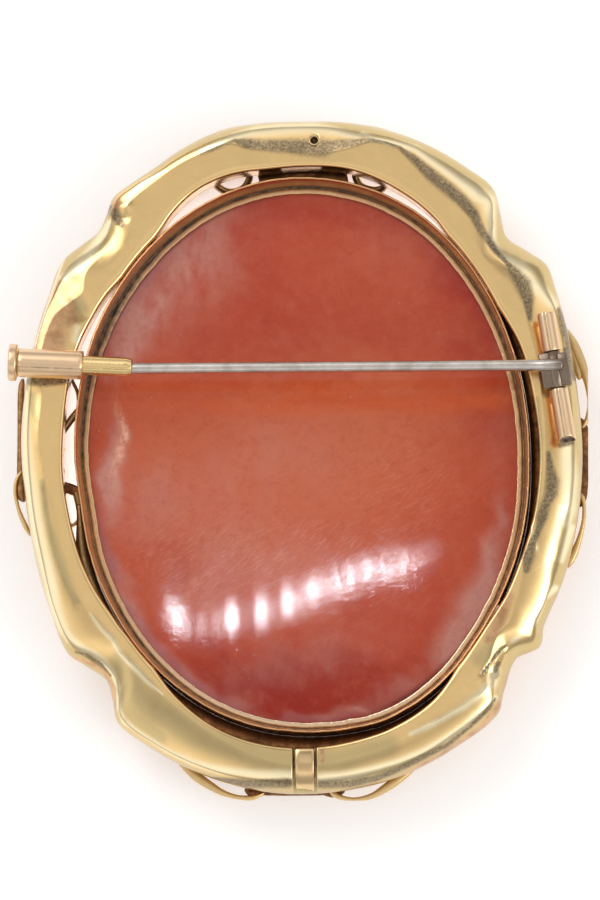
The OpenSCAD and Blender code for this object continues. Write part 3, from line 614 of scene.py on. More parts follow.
def camera():
    look = Vector((*from_photo(FRAME_W / 2, FRAME_H / 2, AXIS_Z), AXIS_Z)) * MM
    right = Vector((math.cos(TILT_X), 0, -math.sin(TILT_X)))
    up = Vector((math.tan(TILT_X) * math.sin(TILT_Y), math.cos(TILT_Y), math.sin(TILT_Y))).normalized()
    back = right.cross(up).normalized()
    cam = bpy.data.cameras.new("camera")
    o = put_in_scene("camera", cam)
    o.location = look + back * CAMERA_FAR
    o.rotation_euler = back.to_track_quat("Z", "Y").to_euler()
    cam.sensor_fit = "VERTICAL"
    cam.sensor_height = FILM_MM
    cam.lens = FILM_MM * CAMERA_FAR / (FRAME_H * PX_MM * MM)
    cam.clip_start = 0.05
    cam.clip_end = 20
    bpy.context.scene.camera = o
    # Roll the camera so that its right side is exactly the photograph's
    bpy.context.view_layer.update()
    have = o.matrix_world.to_3x3() @ Vector((1, 0, 0))
    turn = math.atan2(have.cross(right).dot(back), have.dot(right))
    o.rotation_euler = (o.rotation_euler.to_matrix() @ Matrix.Rotation(turn, 3, "Z")).to_euler()


camera()


# The border ring: its section swept round the oval, with folds, creases and a vent hole.
# Angle, then the shares of the width where the flat of the back ends and where the shoulder's crest runs
SHOULDERS = [[0, 0.14, 0.72], [12, 0.2, 0.78], [22, 0.26, 0.84], [26, 0.31, 0.84], [29, 0.4, 0.76],
    [32, 0.42, 0.69], [36, 0.48, 0.66], [40, 0.48, 0.59], [42.5, 0.48, 0.62], [45.5, 0.47, 0.77],
    [48, 0.44, 0.85], [51, 0.42, 0.75], [56, 0.44, 0.72], [62, 0.46, 0.74], [66, 0.55, 0.79],
    [69.3, 0.66, 0.77], [72, 0.66, 0.75], [75.3, 0.62, 0.71], [77.2, 0.54, 0.67], [80, 0.4, 0.68],
    [84, 0.27, 0.75], [89, 0.23, 0.78], [93, 0.3, 0.78], [97, 0.36, 0.77], [101, 0.42, 0.76],
    [103.4, 0.5, 0.73], [105.5, 0.6, 0.71], [108, 0.62, 0.7], [112, 0.62, 0.71], [120, 0.68, 0.77],
    [125, 0.7, 0.84], [129, 0.7, 0.86], [131, 0.64, 0.86], [133, 0.61, 0.83], [135.5, 0.6, 0.76],
    [139, 0.57, 0.67], [142, 0.55, 0.66], [145, 0.48, 0.67], [148, 0.36, 0.78], [151, 0.5, 0.84],
    [155, 0.7, 0.88], [162, 0.74, 0.88], [166, 0.68, 0.85], [169, 0.55, 0.8], [176, 0.55, 0.78],
    [183, 0.46, 0.77], [190, 0.45, 0.79], [198, 0.44, 0.79], [204.5, 0.42, 0.86], [208, 0.37, 0.88],
    [213, 0.31, 0.84], [217, 0.3, 0.72], [220, 0.32, 0.7], [223, 0.36, 0.78], [226, 0.3, 0.77],
    [229, 0.24, 0.86], [232, 0.2, 0.9], [238, 0.14, 0.9], [245, 0.14, 0.88], [253, 0.2, 0.84],
    [259, 0.3, 0.78], [267, 0.4, 0.69], [274.5, 0.4, 0.69], [281, 0.38, 0.7], [287, 0.36, 0.72],
    [292, 0.34, 0.76], [296, 0.34, 0.78], [302, 0.45, 0.77], [307.5, 0.55, 0.77], [312, 0.6, 0.78],
    [316, 0.55, 0.72], [320, 0.42, 0.72], [324, 0.34, 0.68], [328, 0.28, 0.72], [332, 0.22, 0.8],
    [336, 0.14, 0.74], [340, 0.13, 0.62], [343, 0.15, 0.6], [348, 0.12, 0.64], [352, 0.13, 0.73],
    [356, 0.15, 0.74]]
# Folds of the sheet as pixels of the photograph, then half the width and the height in mm, and the kind of
# form: a ridge or a round swelling
FOLDS = [
    ([(86, 606), (102, 627), (114, 639), (120, 652), (132, 663), (147, 679), (166, 696)], 0.18, 0.06,
        "ridge"),
    ([(72, 648), (88, 653), (101, 662), (112, 675), (116, 690)], 0.14, -0.14, "ridge"),
    ([(508, 645), (496, 656), (487, 668), (479, 680)], 0.12, -0.2, "ridge"),
    ([(506, 650), (493, 661), (485, 673), (477, 686)], 0.13, 0.1, "ridge"),
    ([(494, 668), (493, 681), (483, 693), (464, 707), (443, 719), (425, 728), (408, 735)], 0.22, 0.06,
        "ridge"),
    ([(530, 522), (532, 535), (536, 554)], 0.1, 0.08, "ridge"),
    ([(46, 488), (58, 548), (80, 604)], 0.32, -0.03, "round"),
    ([(126, 204), (117, 206), (106, 203)], 0.4, 0.08, "round"),
    ([(125, 216), (116, 219), (104, 214)], 0.3, -0.1, "round"),
    ([(66, 288), (76, 298), (84, 312)], 0.6, -0.08, "round"),
    ([(75, 322), (74, 336)], 0.4, 0.05, "round"),
    ([(480, 200), (494, 200)], 0.7, 0.06, "round"),
    ([(500, 668), (495, 675)], 0.4, -0.12, "round")]
# The vent hole: its angle, its share of the border's width and the radii of its edge and its wall
VENT_ANGLE, VENT_PLACE, VENT_EDGE, VENT_WALL = 87.4, 0.53, 0.42, 0.34
# Half the width of the strap's slot at its edge and at its floor, and the depths of the slot and the hole
SLOT_EDGE, SLOT_FLOOR, SLOT_DEEP, VENT_DEEP = 1.06, 0.98, 0.5, 1.3
# Painted strokes of shade, reflections and highlights: pixels of the photograph and the stroke's half width
# there
# Painted dark reflections along the shoulders, and painted shadow under the catch
PAINTED_DARK_REFLECTIONS = [
    [(399, 147, 1), (405, 152, 2.5), (413, 158, 4), (431, 175, 6), (448, 189, 6.5), (462, 201, 6),
        (474, 215, 5), (483, 234, 4), (496, 252, 3), (506, 263, 2), (516, 276, 6), (523, 286, 8),
        (528, 300, 6), (530, 321, 2)],
    [(234, 139, 1.5), (245, 142, 5), (263, 144, 6), (287, 145, 7), (301, 146, 8), (322, 147, 9),
        (333, 145, 6), (341, 144, 5.5), (354, 142.5, 4), (371, 139.5, 1.6), (386, 142.5, 1.2),
        (401, 147.5, 1.2)],
    [(200, 153, 1), (218, 145.5, 1.5), (232, 140, 1.5)],
    [(115, 212, 6), (121, 222, 4)],
    [(104, 214, 1.5), (110, 204, 1.5)],
    [(76, 650, 1.2), (88, 653, 1.3), (101, 662, 1.3), (111, 674, 1)],
    [(214, 777, 1.5), (230, 780, 3.5), (255, 783, 4), (288, 782, 5)],
    [(321, 784, 4), (350, 783, 4), (375, 778, 3.5), (394, 771, 3), (415, 761, 3), (447, 745, 2.5),
        (470, 727, 1.6), (488, 709, 2.5), (495, 699, 1)],
    [(498, 664, 2.4), (495, 672, 2)],
    [(505, 647, 1.3), (492, 660, 1.6), (481, 676, 1)],
    [(548, 455, 2), (550, 470, 4), (552, 483, 6.5), (551, 495, 6.5), (546, 505, 5), (542, 518, 5.5),
        (538, 532, 3), (532, 545, 4), (528, 558, 6.5), (526, 572, 3)],
    [(28, 379, 4), (45, 380, 4.5), (66, 378, 4)],
    [(559, 311, 2), (563, 325, 4), (567, 340, 4), (570, 352, 3)],
    [(566, 352, 3), (570, 366, 4), (575, 380, 3)],
    [(560, 447, 3), (572, 445, 2)]]
# Painted tan shade where the border's slopes look duller
PAINTED_TAN_SHADE = [
    [(58, 282, 5), (70, 292, 8), (80, 306, 6)],
    [(104, 236, 3), (92, 256, 3), (80, 270, 3)],
    [(566, 330, 4), (571, 356, 6), (575, 385, 6), (577, 420, 5), (579, 450, 3)],
    [(42, 480, 3), (46, 515, 4), (57, 555, 5), (76, 600, 3)],
    [(110, 690, 14), (135, 715, 10), (160, 735, 8)],
    [(120, 660, 10), (140, 700, 16), (200, 735, 14), (260, 755, 13), (300, 762, 13), (340, 760, 12),
        (390, 745, 9)],
    [(500, 700, 3), (478, 730, 3), (450, 748, 3)],
    [(515, 215, 10), (525, 240, 8), (545, 275, 5), (555, 300, 4)],
    [(215, 128, 4), (240, 124, 3)],
    [(372, 128, 4), (430, 143, 6), (480, 176, 7)],
    [(30, 395, 5), (36, 420, 2)],
    [(537, 400, 2), (540, 440, 3), (536, 520, 3)],
    [(500, 640, 8), (480, 660, 8)]]
# Painted highlights along the crests and creases of the border
PAINTED_HIGHLIGHTS = [
    [(200, 150, 2), (217, 142, 2.5), (236, 135, 3.5), (256, 130, 5), (279, 128, 5), (312, 127, 5),
        (333, 130, 4), (349, 134, 3), (358, 136, 2.5), (363, 134, 2.5), (374, 139, 2.5), (396, 143, 3),
        (415, 149, 3.5), (437, 165, 4), (458, 180, 4.5), (479, 196, 7), (489, 202, 7), (492, 222, 4),
        (492, 243, 4), (502, 257, 3), (521, 267, 5), (535, 286, 6), (553, 306, 5)],
    [(165, 169, 1.2), (145, 178, 1.5), (129, 193, 1.5)],
    [(109, 221, 3), (102, 232, 4), (94, 245, 4.5), (84, 257, 5), (74, 267, 5), (61, 276, 2.5)],
    [(77, 326, 3), (76, 338, 4)],
    [(63, 256, 1.2), (47, 304, 1.5), (35, 343, 1.5)],
    [(26, 390, 2), (25, 420, 4), (25, 459, 7), (31, 498, 7), (38, 537, 7), (49, 577, 7), (56, 609, 6),
        (64, 628, 5)],
    [(49, 591, 4), (58, 617, 4), (70, 636, 4), (82, 646, 3), (94, 651, 2.5), (104, 659, 2.5),
        (113, 671, 2.5), (119, 686, 2), (119, 706, 2), (124, 720, 2), (142, 732, 2), (168, 749, 2.5),
        (194, 761, 3), (219, 768, 3.5), (254, 773, 4), (289, 774, 5)],
    [(90, 612, 1), (102, 627, 2.2), (114, 639, 2.6), (120, 652, 2), (132, 663, 2.6), (147, 679, 2.4),
        (163, 693, 0.8)],
    [(322, 777, 5), (340, 776, 4.5), (368, 770, 3.5), (396, 762, 3), (422, 751, 3), (443, 740, 3),
        (464, 726, 3), (484, 709, 2.5), (495, 698, 2)],
    [(494, 672, 5.5), (491, 684, 5), (481, 694, 4.5), (464, 707, 3.5), (443, 719, 3), (425, 728, 3),
        (410, 734, 2)],
    [(555, 590, 3), (543, 600, 3), (534, 622, 3), (522, 635, 2.5), (512, 643, 2)],
    [(501, 652, 1.2), (489, 664, 1.2), (481, 674, 1)],
    [(566, 448, 6), (569, 480, 8), (569, 510, 7), (566, 525, 5)],
    [(561, 509, 4), (555, 537, 3.5), (548, 562, 3.5), (546, 587, 3.5), (535, 617, 3), (518, 637, 2)],
    [(571, 530, 4), (561, 562, 3)],
    [(531, 529, 1.3), (533, 541, 1.4), (536, 552, 1)]]
# Painted pink reflections, and painted shade along a bevel
PAINTED_PINK_SHADE = [
    [(58, 284, 13), (54, 312, 16), (50, 342, 14)],
    [(66, 300, 8), (70, 320, 6)],
    [(116, 203, 6), (113, 207, 5)],
    [(41, 316, 4), (52, 317, 5)],
    [(508, 598, 5), (498, 623, 6), (488, 641, 4)],
    [(73, 656, 1.5), (90, 661, 1.8), (104, 669, 1.8), (113, 685, 1.6), (115, 706, 1.4)],
    [(300, 752, 4), (312, 754, 5)],
    [(322, 750, 2), (322, 760, 2)],
    [(548, 322, 3), (541, 380, 4)],
    [(510, 676, 3), (504, 700, 3), (480, 730, 3), (440, 757, 3), (400, 778, 3)],
    [(560, 420, 3), (552, 445, 2)]]


def painted(px, py, strokes, soft):
    best = np.zeros(px.shape)
    for line in strokes:
        for (ax, ay, ar), (bx, by, br) in zip(line[:-1], line[1:]):
            dx, dy = bx - ax, by - ay
            t = np.clip(((px - ax) * dx + (py - ay) * dy) / (dx * dx + dy * dy), 0, 1)
            d = np.hypot(px - ax - t * dx, py - ay - t * dy) / (ar + t * (br - ar))
            best = np.maximum(best, smooth(1 + soft, 1 - soft, d))
    return best


def ring_angles(count):
    # Angles that lie closer together where the border has folds, the vent hole or the strap's slot
    whole = np.linspace(0, 360, 7201)
    fine = whole[:-1]
    weight = np.ones_like(fine)
    for middle, wide, more in ((270.5, 4, 1.6), (VENT_ANGLE, 2.5, 2.2), (40, 9, 0.7), (137, 9, 0.7),
            (222, 9, 0.7), (320, 9, 0.7)):
        d = (fine - middle + 180) % 360 - 180
        weight += more * bell(d, wide)
    total = np.concatenate([[0], np.cumsum(weight)])
    return np.interp(np.arange(count) * total[-1] / count, total, whole)


def ring_section(a):
    # Shares of the width and heights below the back, in mm, for each angle
    wide = np.linalg.norm(outer_edge(a) - inner_edge(a), axis=1)[:, None]
    flat = np.clip(through(SHOULDERS, a, 1), 0.1, 0.75)[:, None]
    crest = np.clip(through(SHOULDERS, a, 2)[:, None], flat + 0.06, 0.93)
    k = np.linspace(0, 1, 12)[None, :]
    u1, d1 = 0.06 + (flat - 0.06) * k ** 0.8, 0.012 * wide * (flat - 0.06) * k
    k = (np.arange(1, 15) / 14)[None, :] ** 1.25
    low, high = math.tan(math.radians(8)), math.tan(math.radians(23))
    u2 = flat + (crest - flat) * k
    d2 = d1[:, -1:] + wide * (crest - flat) * (low * k + 0.5 * (high - low) * k ** 2)
    k = np.sin(np.linspace(0, math.pi / 2, 18)[1:])[None, :]
    u3 = crest + (1 - crest) * k
    left = RING_H / 2 - d2[:, -1:]
    share = np.clip(high * wide * (1 - crest) / left, 0, 0.9)
    d3 = d2[:, -1:] + left * (share * k + (1 - share) * (1 - np.sqrt(np.maximum(0, 1 - k ** 2))))
    u0 = np.array([[0, 0, 0, 0.008, 0.03]]) + 0 * flat
    d0 = np.array([[1.3, 0.6, 0.3, 0.13, 0.04]]) + 0 * flat
    front = spline(FRONT_SECTION, 17)
    u4 = front[None, :, 0] + 0 * flat
    d4 = RING_H / 2 * (1 + np.clip(front[:, 1], 0, 1))[None, :] + 0 * flat
    return np.clip(np.concatenate([u0, u1, u2, u3, u4], 1), 0, 1), np.concatenate([d0, d1, d2, d3, d4], 1)


def make_ring():
    a = ring_angles(RING_STEPS)
    u, drop = ring_section(a)
    inner, outer = inner_edge(a)[:, None, :], outer_edge(a)[:, None, :]
    xy = inner * (1 - u[..., None]) + outer * u[..., None]
    up = np.clip(1 - drop / (RING_H / 2), 0, 1)
    z = RING_BACK - drop
    z = z - FOLD_DEPTH * twist(a, 3)[:, None] * np.maximum(0, (u - 0.3) / 0.7) ** 1.5 * up
    x, y = xy[..., 0], xy[..., 1]
    for line, wide, high, kind in FOLDS:
        d, along = to_line(x, y, [from_photo(*p, RING_BACK - 0.3) for p in line])
        ends = smooth(-0.02, 0.2, along) * smooth(-0.02, 0.2, 1 - along)
        shape = np.exp(-np.hypot(d, 0.03) / wide) if kind == "ridge" else bell(d, wide)
        z = z + high * shape * (ends if kind == "ridge" else 1) * up
    z = z + 0.006 * lumps(xy, 7.0, 5, 2) * up
    # The slot for the strap over the seam, and the vent hole
    slot = smooth(SLOT_EDGE, SLOT_FLOOR, np.abs(x - STRAP_X)) * (y < 0) * up
    z = z - SLOT_DEEP * slot
    vent = across(np.array([VENT_ANGLE]), VENT_PLACE)[0]
    top = drop < RING_H / 2
    hole = smooth(VENT_EDGE, VENT_WALL, np.hypot(x - vent[0], y - vent[1])) * top
    z = z - VENT_DEEP * hole
    p = np.stack([x, y, z], -1)
    px, py = to_photo(p)
    near_back = smooth(0.05, 0.35, up)
    # Painted shade in the vent hole, in the strap's slot and a little over the front half, and painted shade
    # on the outer slope past the shoulder's crest
    keys = {"grime_and_shade": np.maximum(np.maximum(0.25 * smooth(0.05, 0.0, up), slot * 0.9), hole),
        "painted_slope_shade": 0.75 * smooth(0.02, 0.12, u - through(SHOULDERS, a, 2)[:, None])}
    for key, strokes, soft, where in (("painted_dark_reflection", PAINTED_DARK_REFLECTIONS, 0.5, near_back), ("painted_light", PAINTED_HIGHLIGHTS, 0.8, 1),
            ("painted_tan_shade", PAINTED_TAN_SHADE, 0.7, near_back), ("painted_pink_shade", PAINTED_PINK_SHADE, 0.7, 1)):
        keys[key] = painted(px, py, strokes, soft) * top * where
    return build("border_ring", p.reshape(-1, 3), grid_quads(*p.shape[:2], True, True), None, keys)


RING = dress(make_ring(), GOLD)


def make_vent():
    # The rounded lip and the wall of the vent hole, set flush in the shoulder
    a = np.array([VENT_ANGLE])
    u, drop = ring_section(a)
    # The first 40 points of the section run from the inner edge over the back towards the outer edge
    back, drop = u[0, :40], drop[0, :40]
    k = np.argmin(np.abs(back - VENT_PLACE) + 9 * (drop > 1.2))
    wide = np.linalg.norm(outer_edge(a) - inner_edge(a))
    slope = (drop[k + 1] - drop[k - 1]) / (wide * (back[k + 1] - back[k - 1]))
    middle = across(a, VENT_PLACE)[0]
    out = (outer_edge(a) - inner_edge(a))[0] / wide
    level = RING_BACK - drop[k] - slope * wide * (VENT_PLACE - back[k])
    b = circle(64)
    rings = []
    for r, up in ((0.46, -0.04), (0.44, -0.012), (0.42, -0.004), (0.39, -0.002), (0.355, -0.008),
            (0.33, -0.03), (0.322, -0.08), (0.32, -0.4), (0.32, -0.9), (0.02, -0.9)):
        x, y = middle[0] + r * np.cos(b), middle[1] + r * np.sin(b)
        outwards = r * (np.cos(b) * out[0] + np.sin(b) * out[1])
        rings.append(np.stack([x, y, level + up - slope * outwards], -1))
    parts = Parts()
    # Painted shade, deepening into the hole
    parts.mark = np.array([0.3, 0.35, 0.4, 0.5, 0.6, 0.8, 1, 1, 1, 1])[:, None]
    parts.grid(np.array(rings), close_v=True)
    return parts.build("vent_lip")


dress(make_vent(), GOLD)


# The pierced ornaments on the front, which show past the ring's edge and in the gap
def wire_rings(path, w, t, sides=14, count=60, taper=0.12):
    p = spline(path, count)
    way = np.gradient(p, axis=0)
    way /= np.linalg.norm(way, axis=1, keepdims=True)
    side = np.stack([-way[:, 1], way[:, 0], np.zeros(len(p))], -1)
    side /= np.linalg.norm(side, axis=1, keepdims=True)
    b = TAU * (np.arange(sides) + 0.5) / sides
    s = np.linspace(0, 1, count)
    thick = np.minimum(1, np.sqrt(np.clip(np.minimum(s, 1 - s) / taper, 0, 1)) * 0.95 + 0.05)
    c, q = np.sign(np.cos(b)) * np.abs(np.cos(b)) ** 0.8, np.sign(np.sin(b)) * np.abs(np.sin(b)) ** 0.8
    w = np.broadcast_to(w, count)
    return (p[:, None, :] + side[:, None, :] * (w[:, None] / 2 * c)[..., None] * thick[:, None, None]
        + np.array([0, 0, 1.0]) * (t / 2 * q)[None, :, None] * thick[:, None, None])


def wire_z(rise):
    return RING_FRONT + WIRE_IN + rise * WIRE_T


def beyond_ring(a, out, z):
    xy = outer_edge(np.array([a]))[0] + outward(RING_W, RING_L, np.array([a]))[0] * out
    return [xy[0], xy[1], z]


def in_gap(a, share, z):
    a = np.array([a])
    xy = bezel_edge(a, -FIT_GAP - WIRE_W / 2)[0] * (1 - share) + inner_edge(a)[0] * share
    return [xy[0], xy[1], z]


# Ribbons of the ornaments that show: height, painted shade (strongest deep in the gap), then pixels of the
# photograph and the half width there
RIBBONS = [
    (0.5, 0.1, [(170, 748, 3), (183, 763, 4), (196, 775, 5), (209, 784, 4.5), (223, 792, 3.2),
        (238, 796.5, 2.4), (253, 797, 2.6), (265, 792, 2)]),
    (0.3, 0.95, [(258, 793, 1.6), (280, 793.4, 2), (302, 793.4, 2), (326, 793.6, 1.8)]),
    (0.3, 0.95, [(246, 786, 4), (253, 793, 4.5), (262, 791, 4), (268, 784, 3)]),
    (0.5, 0.1, [(326, 787, 2), (334, 794, 3), (343, 798, 2.4), (356, 799.5, 2.2), (372, 796, 3),
        (386, 788, 4.5), (401, 777, 5), (414, 765, 4.5), (428, 750, 3)]),
    (0.3, 0.95, [(314, 786, 4), (325, 791, 4.5), (336, 793, 4.5), (345, 788, 3)]),
    (0.4, 0.2, [(566, 330, 4), (576, 350, 5), (583, 368, 5), (588, 386, 3.4), (590, 404, 2.4),
        (588, 420, 2.4), (582, 432, 3)]),
    (0.35, 0.3, [(570, 346, 3), (576, 362, 5), (579, 374, 4), (580, 382, 2)]),
    (0.3, 0.9, [(580, 420, 4), (584, 432, 5), (584, 450, 5), (584, 475, 5), (582, 500, 5), (576, 510, 3)]),
    (0.5, 0.1, [(580, 495, 3), (584, 505, 2.2), (584, 522, 2.2), (580, 540, 3), (574, 556, 4),
        (568, 570, 3)]),
    (0.3, 0.7, [(22, 376, 3), (20, 392, 3.4), (20, 430, 3.6), (20, 470, 4), (20, 492, 4.5), (24, 500, 2)]),
    (0.5, 0.1, [(22, 468, 2), (16, 478, 2), (14.5, 490, 2), (17, 504, 2), (22, 518, 2.6), (30, 534, 3)]),
    (0.6, 0.6, [(68, 372, 1.8), (73, 382, 1.8), (77, 392, 1.8), (78, 410, 1.6)]),
    (0.6, 0.35, [(82, 404, 3), (74, 413, 3.6), (66, 424, 3.6), (60, 434, 3)]),
    (0.6, 0.8, [(58, 484, 5), (66, 486, 5.4), (74, 489, 5.4), (82, 493, 5)]),
    (0.6, 0.45, [(75, 488, 4), (78, 500, 4), (81, 514, 4), (85, 528, 3.4)]),
    (0.6, 0.3, [(66, 524, 1.6), (72, 524, 1.8), (77, 520, 1.8), (80, 514, 1.6)])]


def make_wires():
    parts = Parts()
    for angle, crest_p, crest_n, strut_w in SCROLLS:
        for side, crest, reach in ((1, crest_p, LOOP_REACH[0]), (-1, crest_n, LOOP_REACH[1])):
            if angle == LOOPED:
                outer = [beyond_ring(angle + side * s * crest, r * LOBE_REACH * reach - WIRE_W / 2 - 0.06,
                    wire_z(h)) for s, r, h in SCALLOP]
                parts.tube(wire_rings(outer, WIRE_W, WIRE_T))
                inner = [in_gap(angle + side * s * crest, r, wire_z(h)) for s, r, h in INNER_LOOP]
                # Painted shade on the loops in the gap
                parts.mark = 0.6
                parts.tube(wire_rings(inner, WIRE_W * 1.1, WIRE_T))
                parts.mark = 0.0
            # A strut from the setting to the far side of the ring carries each half of the ornament
            a = angle + side * 0.55 * crest
            ends = [beyond_ring(a, out, wire_z(0.2)) for out in (-0.4, -1.6, -2.8, -3.6)]
            parts.tube(wire_rings(ends, WIRE_W * strut_w, WIRE_T, 16, 24, 0.03))
    low, high = np.array(cad_box[0]) / MM + BOX_MARGIN, np.array(cad_box[1]) / MM - BOX_MARGIN
    for rise, painted_dark, line in RIBBONS:
        z = wire_z(rise)
        path = [[*from_photo(x, y, z), z] for x, y, half in line]
        wide = spline([(half, 0, 0) for x, y, half in line], 60)[:, 0] * 2 * PX_MM
        parts.mark = painted_dark
        parts.tube(np.clip(wire_rings(path, wide, 0.6), low, high))
    # Plates that close the gap between the bezel and the border at the top, lower left, bottom and right,
    # darkened with painted shade; a plate widens from the bezel over its first degrees
    for a0, a1, level, painted_dark, widening in ((79, 101, 4.1, 0.85, 1.5), (189, 232, 5.0, 0.45, 14),
            (231, 310, 5.3, 0.8, 0.1), (328, 397, 5.3, 0.8, 0.1)):
        parts.mark = painted_dark
        b = np.linspace(a0, a1, 60)
        slit = 0.3 * smooth(4.9, 4.5, np.abs(b - 90.7))
        near, far = bezel_edge(b, -0.02 - slit), across(b, 0.12)
        far = near + (far - near) * (0.3 + 0.7 * smooth(0, widening, b - a0))[:, None]
        rings = []
        for share, up in ((0, 0), (0.03, 0.25), (0.5, 0.3), (1, 0.25), (1, -0.25), (0.5, -0.3), (0, -0.25)):
            xy = near * (1 - share) + far * share
            rings.append(np.concatenate([xy, np.full((len(b), 1), level + up)], 1))
        parts.tube(np.stack(rings, 1))
    return parts.build("gallery_wires")


dress(make_wires(), GOLD_FRONT)

# Width and height of a leaf along its length, as shares
LEAF_FORM = np.array([[0, 0.05, 0.5], [0.05, 0.35, 0.55], [0.3, 0.85, 0.95], [0.6, 1, 0.8], [0.85, 0.6, 0.45],
    [1, 0.04, 0.3]])


def make_leaves():
    parts = Parts()
    # The share of the border's width and the size of the leaves at each ornament
    for (angle, *_), (place, size) in zip(SCROLLS, ((0.5, 0.88), (0.5, 0.88), (0.5, 0.8), (0.42, 0.6))):
        middle = across(np.array([angle]), place)[0]
        for turn, length, wide in LEAVES:
            s = np.linspace(0, 1, 34)
            w = np.interp(s, LEAF_FORM[:, 0], LEAF_FORM[:, 1]) * LEAF_W * wide / 2
            h = np.interp(s, LEAF_FORM[:, 0], LEAF_FORM[:, 2])
            w = w * (1 + 0.06 * np.cos(s * TAU * 4))
            b = circle(24)
            half = RING_FRONT * h / 2
            x = np.repeat((s * LEAF_L * length * size)[:, None], len(b), 1)
            y = w[:, None] * np.cos(b)[None, :]
            z = RING_FRONT - half[:, None] + half[:, None] * np.sin(b)[None, :]
            # A vein is sunk along the middle of the leaf's front
            ends = (smooth(0, 0.2, s) * smooth(1, 0.8, s))[:, None]
            z = z + 0.3 * bell(y, 0.16) * (np.sin(b)[None, :] < 0) * ends
            x, y = spun(x, y, angle + turn)
            parts.tube(np.stack([middle[0] + x, middle[1] + y, np.maximum(z, 0.02)], -1))
        # The boss in the middle, as a row of beads round a dome
        s = np.linspace(0, 1, 20)
        b = circle(32)
        stops = [0, 0.1, 0.3, 1]
        r = np.interp(s, stops, [0.02, 0.45, 0.64, 0.95])[:, None] * (1 + 0.05 * np.cos(8 * b)[None, :])
        z = np.interp(s, stops, [0.02, 0.08, 0.5, RING_FRONT + 0.3])[:, None] + 0 * b[None, :]
        parts.tube(np.stack([middle[0] + r * np.cos(b), middle[1] + r * np.sin(b), z], -1))
    return parts.build("front_leaves")


dress(make_leaves(), GOLD_FRONT)
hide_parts("frame")


# The bezel: its section swept round the oval. How far in its groove lies and its inner lip begins, and the
# levels between which both lie.
GROOVE_IN, LIP_IN, GROOVE_LOW, GROOVE_HIGH = 0.6, 0.68, 5.7, 6.5


def make_bezel():
    a = circle(BEZEL_STEPS, 360)
    seat = EDGE_BACK + FIT_GAP
    lip_back = BEZEL_FRONT + FRONT_LIP_T
    section = [(0, BEZEL_FRONT + 0.05), (0, BEZEL_FRONT + 0.4), (0, 4.6), (0, 5.6), (0, 6.6), (0, 7.3),
        (0, 7.8), (0, 7.93), (0.02, 7.98), (0.06, 8.0), (0.1, 8.0), (0.14, 7.99), (0.18, 7.95), (0.21, 7.85),
        (0.26, 7.6), (0.33, 7.2), (0.41, 6.75), (0.48, 6.4), (0.53, 6.15), (0.55, 5.9), (0.555, 5.78),
        (0.57, 5.76), (0.65, 5.76), (0.665, 5.78), (0.67, 5.86), (0.685, 5.91), (0.72, 5.94), (0.82, 5.955),
        (0.93, 5.965), (1.03, 5.96), (1.1, 5.945), (1.14, 5.9), (1.155, 5.8), (1.16, 5.7),
        (1.15, seat + 0.02), (1.12, seat), (0.8, seat), (0.4, seat), (BEZEL_WALL, seat - 0.05),
        (BEZEL_WALL, 5.0), (BEZEL_WALL, 4.3), (BEZEL_WALL, lip_back + 0.03), (BEZEL_WALL + 0.05, lip_back),
        (0.8, lip_back), (FRONT_LIP_W - 0.05, lip_back), (FRONT_LIP_W, lip_back - 0.06),
        (FRONT_LIP_W, BEZEL_FRONT + 0.12), (FRONT_LIP_W - 0.08, BEZEL_FRONT + 0.02), (0.7, BEZEL_FRONT),
        (0.3, BEZEL_FRONT), (0.06, BEZEL_FRONT)]
    q = np.array(section)
    inset, z = q[None, :, 0], q[None, :, 1]
    # The thin wall and its rim are slightly uneven, more so near the back
    top = smooth(6.2, 8.0, z)
    place = bezel_edge(a, 0.0)
    wander = 0.03 * lumps(place, 7.0, 11)[:, None] * top + 0.012 * lumps(place, 1.6, 12)[:, None] * top
    lip = ((inset > LIP_IN) & (z > GROOVE_LOW)) * 1.0
    wander = wander + 0.035 * lumps(place, 4.0, 13)[:, None] * lip
    xy = np.stack([bezel_edge(a, np.maximum(q[k, 0] + np.abs(wander[:, k]), 0.0)) for k in range(len(q))], 1)
    zz = (np.broadcast_to(z, xy.shape[:2]) - np.abs(0.05 * lumps(place, 5.0, 14)[:, None]) * top
        - 0.02 * lip * np.abs(lumps(place, 1.1, 15)[:, None]))
    p = np.concatenate([xy, zz[..., None]], -1)
    polar = np.degrees(np.arctan2(place[:, 1], place[:, 0])) % 360

    def around(middle, wide, angle=polar):
        # 1 at one angle round the oval, and less away from it
        return bell(angle - middle, wide)[:, None]

    # Soiling and painted shade in the groove, bluish at the upper left; painted brownish shade on the inner
    # wall at the top and the right and on the outside; painted light on the lip, most at the bottom
    blue = around(148, 26)
    groove = bell(inset - GROOVE_IN, 0.085 + 0.05 * blue) * (z > GROOVE_LOW) * (z < GROOVE_HIGH)
    spots = 0.35 + 0.65 * (around(145, 22) + around(225, 16) + 0.6 * around(95, 45) + 0.5 * around(30, 25))
    grime_and_shade = np.clip(
        groove * (0.55 + 0.6 * spots) + (0.12 * spots + 0.55 * blue) * (inset > 0.3) * (z > GROOVE_LOW), 0, 1)
    shaded_sides = 0.5 * around(88, 38) + 0.6 * around(0, 38, (polar + 180) % 360 - 180)
    painted_wall_shade = (inset < 0.01) * smooth(7.9, 7.3, z) + shaded_sides * (inset > 0.15) * (inset < 0.56)
    # Painted light on the lip, strongest at the bottom
    painted_light_share = 0.2 + 0.7 * smooth(75, 10, np.abs((polar - 275 + 180) % 360 - 180))[:, None]
    keys = {"grime_and_shade": grime_and_shade, "painted_wall_shade": painted_wall_shade, "bright": lip * painted_light_share * (1 - 0.8 * blue)}
    return build("bezel_setting", p.reshape(-1, 3), grid_quads(*p.shape[:2], True, True), None, keys)


BEZEL = dress(make_bezel(), COPPER)
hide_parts("bezel")


